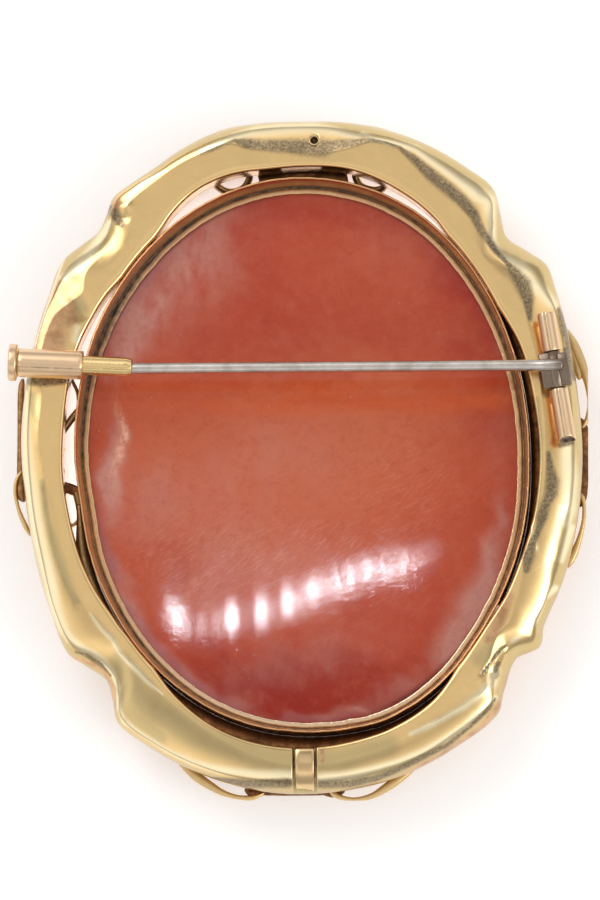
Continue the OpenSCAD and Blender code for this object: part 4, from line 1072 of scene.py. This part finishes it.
# The shell: a polished dish at the back, and the raised spray at the front
def spray(rows, x, y, pointed):
    best = np.zeros(x.shape)
    for mx, my, length, wide, turn, high in rows:
        along, side = spun(x - mx, y - my, -turn)
        along, side = along / length, side / wide
        if pointed:
            half = 1 - along ** 2
            left = np.where(half > 0, 1 - (side / np.maximum(half, 1e-6)) ** 2, 0)
            h = np.where(left > 0, np.sqrt(np.maximum(half, 0)) * (0.4 + 0.6 * np.maximum(left, 0)), 0)
            h = h * (1 - 0.14 * bell(side, 0.12)) * (1 - 0.05 * np.cos(along * 26 - np.abs(side) * 9))
        else:
            left = 1 - along ** 2 - side ** 2
            h = np.where(left > 0, np.sqrt(np.maximum(left, 0)), 0)
            h = h * (1 - 0.12 * bell(side, 0.16) * (along > -0.7)) * (1 - 0.03 * np.cos(side * 22))
        best = np.maximum(best, high * h)
    return best


def relief(x, y):
    x, y = x * 2 / SHELL_W, y * 2 / SHELL_W
    return RELIEF_H * np.maximum(spray(PETALS, x, y, False), spray(LEAF_SPRAY, x, y, True))


# The orange band across the dish: the pixel row of its middle, its half width, and where it fades to the left
BAND_Y, BAND_HALF, BAND_X0, BAND_X1 = 402, 12, 150, 330
# Stains of the shell, with a painted sheen and painted sparkles: middle, half length and half width in pixels
# of the photograph, turn and strength
HAZE_AND_SHEEN = [(186, 250, 52, 22, 55, 0.85), (142, 300, 46, 24, 60, 0.9), (120, 338, 34, 26, 70, 1.0),
    (205, 270, 60, 34, 50, 0.45), (150, 330, 30, 30, 0, 0.35), (113, 470, 46, 11, 87, 1.0),
    (120, 600, 52, 16, 118, 0.75), (165, 655, 40, 12, 135, 0.7), (150, 500, 45, 40, 0, 0.3),
    (230, 560, 70, 40, 20, 0.35), (260, 470, 90, 40, 10, 0.25), (495, 540, 45, 10, 80, 0.75),
    (472, 610, 45, 18, 55, 0.9), (448, 650, 22, 14, 50, 0.7), (500, 440, 30, 12, 80, 0.15),
    (395, 692, 40, 10, 25, 0.4), (340, 715, 60, 5, 5, 0.6), (230, 700, 50, 8, -28, 0.4),
    (420, 245, 60, 40, 0, 0.12), (300, 660, 90, 25, 15, 0.3), (505, 345, 14, 8, 90, 0.4)]
GLOW = [(300, 480, 190, 110, 15, 0.95), (330, 420, 110, 50, 0, 0.3), (380, 255, 70, 55, -20, 0.3),
    (140, 430, 60, 60, 0, 0.5)]
DARK = [(300, 700, 150, 42, 0, 0.75), (240, 670, 60, 25, -20, 0.45), (330, 660, 40, 20, 0, 0.35),
    (110, 420, 60, 9, 88, 0.2), (180, 580, 14, 70, 20, 0.25)]
RUBBED = [(240, 570, 110, 40, -15, 1.0), (400, 500, 60, 70, 0, 0.5), (330, 560, 90, 30, -20, 0.9),
    (250, 250, 60, 40, 0, 0.12)]
# Painted sparkle of a lamp's reflection, on the left and at the streak's start
PAINTED_GLINTS = [(119, 436, 34, 5, 88, 0.7), (186, 596, 18, 8, 60, 0.25)]
CRIMSON = [(468, 290, 70, 26, -58, 0.9), (300, 214, 130, 16, 0, 0.5), (492, 400, 40, 22, 80, 0.3)]
MAUVE = [(105, 560, 70, 9, 105, 0.8), (150, 640, 60, 9, 130, 0.8), (205, 690, 50, 10, 152, 0.8),
    (300, 722, 90, 7, 0, 0.6), (150, 270, 70, 8, 55, 0.7), (97, 350, 50, 7, 85, 0.5),
    (506, 330, 60, 9, -70, 0.8), (480, 640, 60, 8, 55, 0.4)]


def make_shell():
    a = circle(SHELL_STEPS, 360)
    edge = bezel_edge(a, BEZEL_WALL + FIT_GAP)
    # Back
    q = np.concatenate([[0.02], np.linspace(0.05, 0.97, 70), np.linspace(0.976, 1, 6)])
    xy = edge[:, None, :] * q[None, :, None]
    z = SHELL_BACK + (EDGE_BACK - SHELL_BACK) * q[None, :] ** 2 + 0 * xy[..., 0]
    z = z + 0.003 * lumps(xy, 18.0, 21, 1) * smooth(1, 0.9, q)[None, :]
    p = np.concatenate([xy, z[..., None]], -1)
    parts = Parts()
    parts.grid(p, close_u=True)
    i = np.arange(len(a))
    parts.pole([0, 0, SHELL_BACK], i * len(q))
    pts = np.concatenate(parts.points)
    r = np.hypot(pts[:, 0] / (SHELL_W / 2), pts[:, 1] / (SHELL_L / 2))
    px, py = to_photo(pts)
    wob = 9 * lumps(pts[:, :2], 8.0, 22)

    def stained(rows):
        best = np.zeros(len(pts))
        for cx, cy, rx, ry, turn, strength in rows:
            along, side = spun(px - cx + wob * 0.7, cy - py + wob, -turn)
            best = best + strength * np.exp(-((along / rx) ** 2 + (side / ry) ** 2) ** 1.3)
        return np.clip(best, 0, 1)

    # Painted shadow along the dish's rim, where it meets the bezel
    band = 0.9 * bell(py - BAND_Y + wob * 0.4, BAND_HALF)
    keys = {"haze_and_sheen": stained(HAZE_AND_SHEEN), "rubbed": stained(RUBBED), "painted_glint": stained(PAINTED_GLINTS), "glow": stained(GLOW),
        "dark": stained(DARK), "crimson": stained(CRIMSON), "mauve": stained(MAUVE),
        "rim": smooth(0.975, 0.992, r), "orange": band * (0.35 + 0.65 * smooth(BAND_X0, BAND_X1, px))}
    back = parts.build("shell_dish", attributes=keys)
    # Edge and front in one surface
    q = np.concatenate([np.linspace(1, 0.975, 4), np.linspace(0.965, 0.02, 150)])
    xy = edge[:, None, :] * q[None, :, None]
    up = relief(xy[..., 0], xy[..., 1]) * (q < 1)[None, :]
    z = SHELL_FRONT + (EDGE_FRONT - SHELL_FRONT) * q[None, :] ** 2 - up
    ring = np.concatenate([xy, z[..., None]], -1)
    wall = np.stack([edge[:, 0], edge[:, 1], np.full(len(a), EDGE_BACK)], -1)[:, None, :]
    middle = wall.copy()
    middle[..., 2] = (EDGE_BACK + EDGE_FRONT) / 2
    ring = np.concatenate([wall, middle, ring], 1)
    raised = np.concatenate([np.zeros((len(a), 2)), up], 1)
    top = relief(np.zeros(1), np.zeros(1))
    parts = Parts()
    parts.grid(ring, close_u=True)
    parts.pole([0, 0, SHELL_FRONT - top[0]], (i + 1) * ring.shape[1] - 1)
    front = parts.build("shell_relief", attributes={"raised": np.append(raised.ravel(), top) / RELIEF_H})
    return back, front


SHELL_DISH, SHELL_RELIEF = make_shell()
dress(SHELL_DISH, SHELL_BACK_MATERIAL)
dress(SHELL_RELIEF, RELIEF_MATERIAL)
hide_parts("cameo")


# Findings. Each has its own line along z, and is then put in its place.
def turned(profile, sides=48):
    # Rings of a turned form from [height, radius] pairs
    b = TAU * np.arange(sides) / sides
    q = np.array(profile, float)
    return np.stack([q[:, 1, None] * np.cos(b), q[:, 1, None] * np.sin(b), q[:, 0, None] + 0 * b], -1)


# Points round a tube, the angles round the tubes of the hinge and the catch at which a dark line runs, and
# the radius of the hinge's tubes from which their line is sunk
ROUND, HINGE_LINE, CATCH_LINE, LINE_FROM = 72, -100, -25, 0.7


def thin_line(p, at, strength, wide=3.5):
    # Marks a thin line lengthwise on a turned form, at an angle round it
    angle = np.degrees(np.arctan2(p[..., 1], p[..., 0]))
    return strength * bell(angle - at, wide)


def at_hinge(p):
    # Local z runs up along the hinge, local y runs down into the brooch
    x, y = spun(p[..., 0], p[..., 2], HINGE_LEAN)
    return np.stack([HINGE_X + x, HINGE_Y + y, HINGE_Z - p[..., 1]], -1)


def at_catch(p):
    # Local z runs outwards along the catch, local x runs up
    x, y = spun(-p[..., 2], p[..., 1], -CATCH_LEAN)
    return np.stack([x - CATCH_X, y + HINGE_Y + PIN_SHIFT + CATCH_LIFT, PIN_Z + p[..., 0]], -1)


def box_rings(x0, x1, y0, y1, z0, z1, round_by, steps=5):
    # A soft-edged block as rings round its z line
    pts = []
    for cx, cy, start in ((x1, y1, 0), (x0, y1, 90), (x0, y0, 180), (x1, y0, 270)):
        sx, sy = (1 if cx == x1 else -1), (1 if cy == y1 else -1)
        for k in range(steps):
            b = math.radians(start + 90 * k / (steps - 1))
            pts.append((cx - sx * round_by + round_by * math.cos(b),
                cy - sy * round_by + round_by * math.sin(b)))
    middle, half = np.array([(x0 + x1) / 2, (y0 + y1) / 2]), np.array([(x1 - x0) / 2, (y1 - y0) / 2])
    rings = []
    for z, shrink in ((z0, round_by), (z0 + round_by * 0.3, round_by * 0.3), (z0 + round_by, 0),
            (z1 - round_by, 0), (z1 - round_by * 0.3, round_by * 0.3), (z1, round_by)):
        xy = middle + (np.array(pts) - middle) * (1 - shrink / half)
        rings.append(np.concatenate([xy, np.full((len(xy), 1), z)], 1))
    return np.array(rings)


def make_hinge_tube(name, start, length, open_low):
    end = start + length
    r, bore = HINGE_TUBE_D / 2, RIVET_D / 2 + FIT_GAP
    # The bore widens at the end that is away from the knuckle
    wide = r - 0.1
    low, high = (wide, bore) if open_low else (bore, wide)
    profile = [(start, low), (start, r - 0.06), (start + 0.02, r - 0.02), (start + 0.06, r)]
    profile += [(h, r) for h in np.linspace(start + 0.3, end - 0.3, 14)]
    profile += [(end - 0.06, r), (end - 0.02, r - 0.02), (end, r - 0.06), (end, high)]
    profile += [] if open_low else [(end - 0.3, high)]
    profile += [(end - 0.31, bore), (start + 0.31, bore)]
    profile += [(start + 0.3, low)] if open_low else []
    p = turned(profile, ROUND)
    # A thin dark line, slightly sunk, runs lengthwise, turned to the back
    radial = np.hypot(p[..., 0], p[..., 1])
    groove = thin_line(p, HINGE_LINE, 0.07, 4.5) * (radial > LINE_FROM)
    line = thin_line(p, HINGE_LINE, 0.8)
    p[..., :2] *= (1 - groove / np.maximum(radial, 0.1))[..., None]
    if open_low:
        p[..., 2] += 0.34 * np.maximum(0, -p[..., 1] / r) * smooth(start + 1.2, start, p[..., 2])
    parts = Parts()
    # The inside of the bore is darkened as painted shade, and the line is marked dark
    mark = np.maximum(radial[:, :1] < r - 0.08, line)
    parts.mark = np.concatenate([mark, mark[:1]])
    parts.grid(at_hinge(np.concatenate([p, p[:1]])), close_v=True)
    parts.mark = 0.0
    half = HINGE_TUBE_D * 0.32
    foot = box_rings(-half, half, 0.35, HINGE_RISE - FIT_GAP,
        start + length * 0.15, start + length * 0.85, 0.1)
    parts.tube(at_hinge(foot))
    return parts.build(name)


UPPER = dress(make_hinge_tube("hinge_sleeve_upper", KNUCKLE_L / 2 + FIT_GAP, UPPER_TUBE_L, False),
    ROSE)
LOWER = dress(
    make_hinge_tube("hinge_sleeve_lower", -KNUCKLE_L / 2 - FIT_GAP - LOWER_TUBE_L, LOWER_TUBE_L, True),
    ROSE)
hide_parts("hinge_tube_upper")
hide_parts("hinge_tube_lower")


def make_pin():
    parts = Parts()
    stem = HINGE_X + CATCH_X + SLIDER_OUT - TIP_SHORT - POINT_L + STEM_BACK
    # The stem flares at the knuckle and ends in a ground point
    profile = [(0, 0.3), (0.02, 0.48), (0.08, 0.58)]
    profile += [(h, 0.6 - 0.12 * smooth(0.7, 2.9, h)) for h in np.linspace(0.2, 3.1, 14)]
    profile += [(h, PIN_D / 2) for h in np.linspace(3.3, stem, 60)]
    profile += [(stem + POINT_L * k, PIN_D / 2 - (PIN_D / 2 - 0.08) * k)
        for k in np.linspace(0.06, 1, 16)[:-1]]
    profile += [(stem + POINT_L - 0.02, 0.07), (stem + POINT_L, 0.02)]
    p = turned(profile, 40)
    # Painted shade with brownish soiling, darkest at the knuckle end of the stem
    parts.mark = 0.75 * smooth(1.4, 0.1, np.array(profile)[:, :1])
    parts.tube(np.stack(
        [HINGE_X + STEM_BACK - p[..., 2], HINGE_Y + PIN_SHIFT + p[..., 1], PIN_Z + p[..., 0]], -1))
    # The knuckle: a block that wraps round the rivet, with a flange at its outer side
    h = KNUCKLE_L / 2
    # The knuckle is dark all over, as painted shade with brownish soiling
    parts.mark = 0.85
    parts.tube(at_hinge(box_rings(-KNUCKLE_W / 2, 0.55, -0.56, 0.5, -h + 0.1, h, 0.14)))
    parts.tube(at_hinge(box_rings(0.35, KNUCKLE_W / 2, -0.7, 0.42, -h + 0.1, h - 0.25, 0.12)))
    barrel = turned([(-h + 0.02, 0.3), (-h + 0.02, 0.62), (-h + 0.08, 0.7), (0, 0.72), (h - 0.05, 0.7),
        (h, 0.6), (h, 0.3)], 40)
    barrel[..., 1] = np.clip(barrel[..., 1], -0.7, 0.5)
    parts.tube(at_hinge(barrel))
    return parts.build("pin_with_knuckle", "pin")


PIN = dress(make_pin(), STEEL)
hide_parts("pin")
dress(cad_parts["hinge_rivet"], STEEL)


def make_catch():
    low, high = SLIDER_OUT, SLIDER_OUT + CATCH_L
    r, bore = CATCH_D / 2, SLIDER_D / 2 + RUN_GAP
    profile = [(low, bore), (low, bore + 0.1), (low + 0.02, r - 0.05), (low + 0.07, r)]
    profile += [(h, r) for h in np.linspace(low + 0.4, high - 0.4, 14)]
    profile += [(high - 0.06, r), (high - 0.02, r - 0.04), (high, r - 0.09), (high, bore), (low, bore)]
    p = turned(profile, ROUND)
    parts = Parts()
    parts.mark = thin_line(p, CATCH_LINE, 0.75)
    parts.grid(at_catch(p), close_v=True)
    parts.mark = 0.0
    saddle = PIN_Z - RING_BACK - FIT_GAP
    block = box_rings(-saddle, -0.95, -0.65, 0.65, low + 1.2, high - 1.2, 0.2)
    parts.tube(at_catch(block))
    return parts.build("catch_sleeve")


CATCH = dress(make_catch(), ROSE)
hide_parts("catch_tube")


def make_slider():
    shank = SLIDER_OUT + CATCH_L + RUN_GAP
    r, bore = SLIDER_D / 2, SLIDER_BORE_D / 2
    profile = [(0, bore), (0, r - 0.1), (0.05, r - 0.09), (0.3, r - 0.01), (0.4, r)]
    profile += [(h, r) for h in np.linspace(0.8, shank - 0.1, 20)]
    profile += [(shank, r), (shank + 0.01, KNOB_D / 2 - 0.14)]
    outside = turned(profile, ROUND)
    inside = turned([(0, bore), (0.3, bore), (3.6, bore), (SLIDER_OUT - 0.22, bore),
        (SLIDER_OUT - 0.2, 0.05)], ROUND)
    parts = Parts()
    parts.mark = thin_line(outside[1:], CATCH_LINE, 0.7)
    parts.tube(at_catch(outside[1:]))
    parts.mark = 0.0
    parts.grid(at_catch(outside[:2]), close_v=True)
    parts.tube(at_catch(inside[::-1]))
    return parts.build("catch_slide_tube", "slider")


SLIDER = dress(make_slider(), BRIGHT)
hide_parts("catch_slider")


def make_knob():
    start = SLIDER_OUT + CATCH_L + RUN_GAP
    end, k = start + KNOB_T, KNOB_D / 2
    profile = [(start, SLIDER_D / 2 - 0.1), (start + 0.01, k - 0.2), (start + 0.03, k - 0.08),
        (start + 0.1, k - 0.01), (start + 0.16, k), (start + KNOB_T * 0.5, k), (end - 0.16, k),
        (end - 0.09, k - 0.02), (end - 0.03, k - 0.08), (end, k - 0.18), (end - 0.01, k - 0.4),
        (end - 0.08, k - 0.6), (end - 0.1, 0.1)]
    parts = Parts()
    parts.tube(at_catch(turned(profile, ROUND)))
    return parts.build("slide_knob", "slider")


dress(make_knob(), ROSE)


# The strap over the ring's seam follows the ring's back from its inner to its outer edge
def make_strap():
    a = np.array([270.0])
    spots = []
    flat = twist(a, 4)[0]
    for place, drop in BACK_SECTION[:-1]:
        u = place * flat if place <= 1 else flat + (place - 1) * (1 - flat)
        y = across(a, u)[0][1]
        spots.append((y, RING_BACK - drop * RING_H / 2))
    line = spline([(y, z, 0) for y, z in spots], 40)[:, :2]
    way = np.gradient(line, axis=0)
    way /= np.linalg.norm(way, axis=1, keepdims=True)
    out = np.stack([way[:, 1], -way[:, 0]], -1)
    out *= np.sign(out[:, 1:2] + 1e-9)
    half = STRAP_W / 2
    section = [(-half, -1), (-half, -0.35), (-half + 0.03, -0.1), (-half + 0.1, -0.01), (-0.4, 0), (0, 0),
        (0.4, 0), (half - 0.1, -0.01), (half - 0.03, -0.1), (half, -0.35), (half, -1)]
    rings = []
    for (y, z), n in zip(line, out):
        rings.append([(STRAP_X + sx, y + n[0] * STRAP_T * sz, z + n[1] * STRAP_T * sz) for sx, sz in section])
    parts = Parts()
    parts.tube(np.array(rings))
    return parts.build("seam_cover")


STRAP = dress(make_strap(), SEAM)
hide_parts("seam_strap")


# Floor, light and surroundings. First half the floor's side in millimetres, and the points along it.
FLOOR_HALF, FLOOR_STEPS = 900, 24
# Half axes of the brighter oval of the floor, in metres
LIT_X, LIT_Y = 0.022, 0.0268


def floor():
    g = np.linspace(-FLOOR_HALF, FLOOR_HALF, FLOOR_STEPS)
    x, y = np.meshgrid(g, g, indexing="ij")
    p = np.stack([x, y, np.zeros_like(x)], -1)
    me = bpy.data.meshes.new("floor")
    quads = [tuple(int(k) for k in f) for f in grid_quads(FLOOR_STEPS, FLOOR_STEPS)]
    me.from_pydata([tuple(v * MM) for v in p.reshape(-1, 3)], [], quads)
    o = put_in_scene("floor", me)
    m, n, out = material("floor_pale")
    n.put(out.inputs["Base Color"], n.mix(n.noise(3.0, 2.0, 0.5), (0.9, 0.9, 0.9), (0.87, 0.87, 0.87)))
    out.inputs["Roughness"].default_value = 0.9
    # A pale light table, which keeps the shadows soft and is brighter under the oval of the brooch
    out.inputs["Emission Color"].default_value = (1, 1, 1, 1)
    reach = n.add("ShaderNodeVectorMath", operation="LENGTH")
    n.put(reach.inputs[0], n.place((1 / LIT_X, 1 / LIT_Y, 0)))
    n.put(out.inputs["Emission Strength"], n.ramp(reach.outputs["Value"], (0.88, 1.1), (1.0, 0.24)))
    o.data.materials.append(m)


floor()


def softbox(name, at, look, size, power, colour=(1, 1, 1)):
    light = bpy.data.lights.new(name, "AREA")
    light.shape = "RECTANGLE"
    light.size, light.size_y = size
    light.energy = power
    light.color = colour
    o = put_in_scene(name, light)
    o.location = at
    o.rotation_euler = (Vector(at) - Vector(look)).to_track_quat("Z", "Y").to_euler()
    return o


def surroundings():
    # A pale studio: bright overhead, darker where the room shows between the lamps, and with one dark patch
    world = bpy.data.worlds.new("studio")
    bpy.context.scene.world = world
    world.use_nodes = True
    n = Nodes(world.node_tree)
    way = n.add("ShaderNodeTexCoord").outputs["Generated"]
    parts = n.add("ShaderNodeSeparateXYZ")
    n.put(parts.inputs[0], way)
    colour = n.ramp(n.scaled(parts.outputs["Z"], 0.5, 0.5), (0.5, 0.62), (0.6, 0.58), (0.72, 0.74),
        (0.82, 1.3), (0.89, 1.4), (0.94, 0.86), (0.97, 0.6), (0.985, 0.88), (1.0, 1.07))
    near = n.add("ShaderNodeVectorMath", operation="DOT_PRODUCT")
    n.put(near.inputs[0], way)
    near.inputs[1].default_value = Vector((0.02, 0.42, 0.9)).normalized()
    inner, outer = math.cos(math.radians(5)), math.cos(math.radians(12))
    dark = n.maths("DIVIDE", n.maths("SUBTRACT", near.outputs["Value"], outer), inner - outer, True)
    bg = world.node_tree.nodes["Background"]
    n.put(bg.inputs["Color"], n.mix(n.times(dark, 0.75), colour, (0.2, 0.19, 0.18)))
    bg.inputs["Strength"].default_value = 0.8


surroundings()
softbox("key", (-0.45, 0.55, 0.8), (0, 0, 0), (0.6, 0.6), 2.5)
softbox("fill", (0.7, -0.3, 0.6), (0, 0, 0), (0.5, 0.5), 2)

# Rows of small lamps whose reflections make the bright streak across the shell's dish and the sheen round
# it: pixels of the photograph where each shows, its half width there and its strength
LAMPS = [(177, 599, 3.2, 0.7), (185, 607, 4, 1.1), (194, 612, 3, 0.6), (207, 614, 4, 0.3),
    (222, 612, 4, 0.35), (236, 607, 4.6, 1.3), (250, 606, 3, 0.25), (264, 601, 4.4, 1.2), (277, 599, 3, 0.3),
    (288, 592, 4, 1.3), (298, 590, 3, 0.6), (307, 582, 3.4, 1.2), (316, 578, 3, 0.7), (325, 573, 3.4, 1.2),
    (334, 570, 3, 0.7), (343, 565, 3.4, 1.2), (352, 561, 3, 0.7), (361, 557, 3.4, 1.2), (370, 554, 3, 0.8),
    (379, 552, 2.8, 1.5), (388, 551, 2.4, 1.1), (397, 550, 2.2, 1.6), (406, 549, 1.8, 1.4),
    (414, 546, 1.4, 1.5), (422, 542, 1.0, 1.7), (430, 537, 0.6, 2)]
SHEEN = [(195, 594, 24, 0.5), (240, 590, 28, 0.6), (290, 575, 28, 0.6), (335, 556, 24, 0.5),
    (378, 545, 15, 0.4), (412, 540, 7, 0.3)]


# The level of the dish where the rows' pixels are taken
DISH_Z = 4.6
# These small lamps shine on the dish alone, so that the gold keeps its soft light
DISH_ONLY = bpy.data.collections.new("dish_only")
DISH_ONLY.objects.link(SHELL_DISH)


def lamps(rows, tall, power, far, name):
    eye = Vector((math.sin(TILT_X), -math.sin(TILT_Y), 1)).normalized()
    deep = EDGE_BACK - SHELL_BACK
    bend_x, bend_y = 8 * deep / SHELL_W ** 2, 8 * deep / SHELL_L ** 2
    for k, (px, py, half, bright) in enumerate(rows):
        x, y = from_photo(px, py, DISH_Z)
        n = Vector((-bend_x * x, -bend_y * y, 1)).normalized()
        r = 2 * n.dot(eye) * n - eye
        at = Vector((x, y, DISH_Z)) * MM
        # The dish magnifies: a lamp of this size shows with the half width that the row gives
        w, h = 4 * half * PX_MM * far * bend_x, 4 * half * tall * PX_MM * far * bend_y
        light = power * bright * math.pi * w * h
        lamp = softbox("%s_%d" % (name, k), at + r * far, at, (w, h), light, (0.86, 0.92, 1.0))
        lamp.light_linking.receiver_collection = DISH_ONLY


lamps(LAMPS, tall=1.6, power=92, far=0.5, name="lamp")
lamps(SHEEN, tall=1.0, power=2.6, far=0.55, name="sheen")

bpy.context.scene.view_settings.view_transform = "Standard"
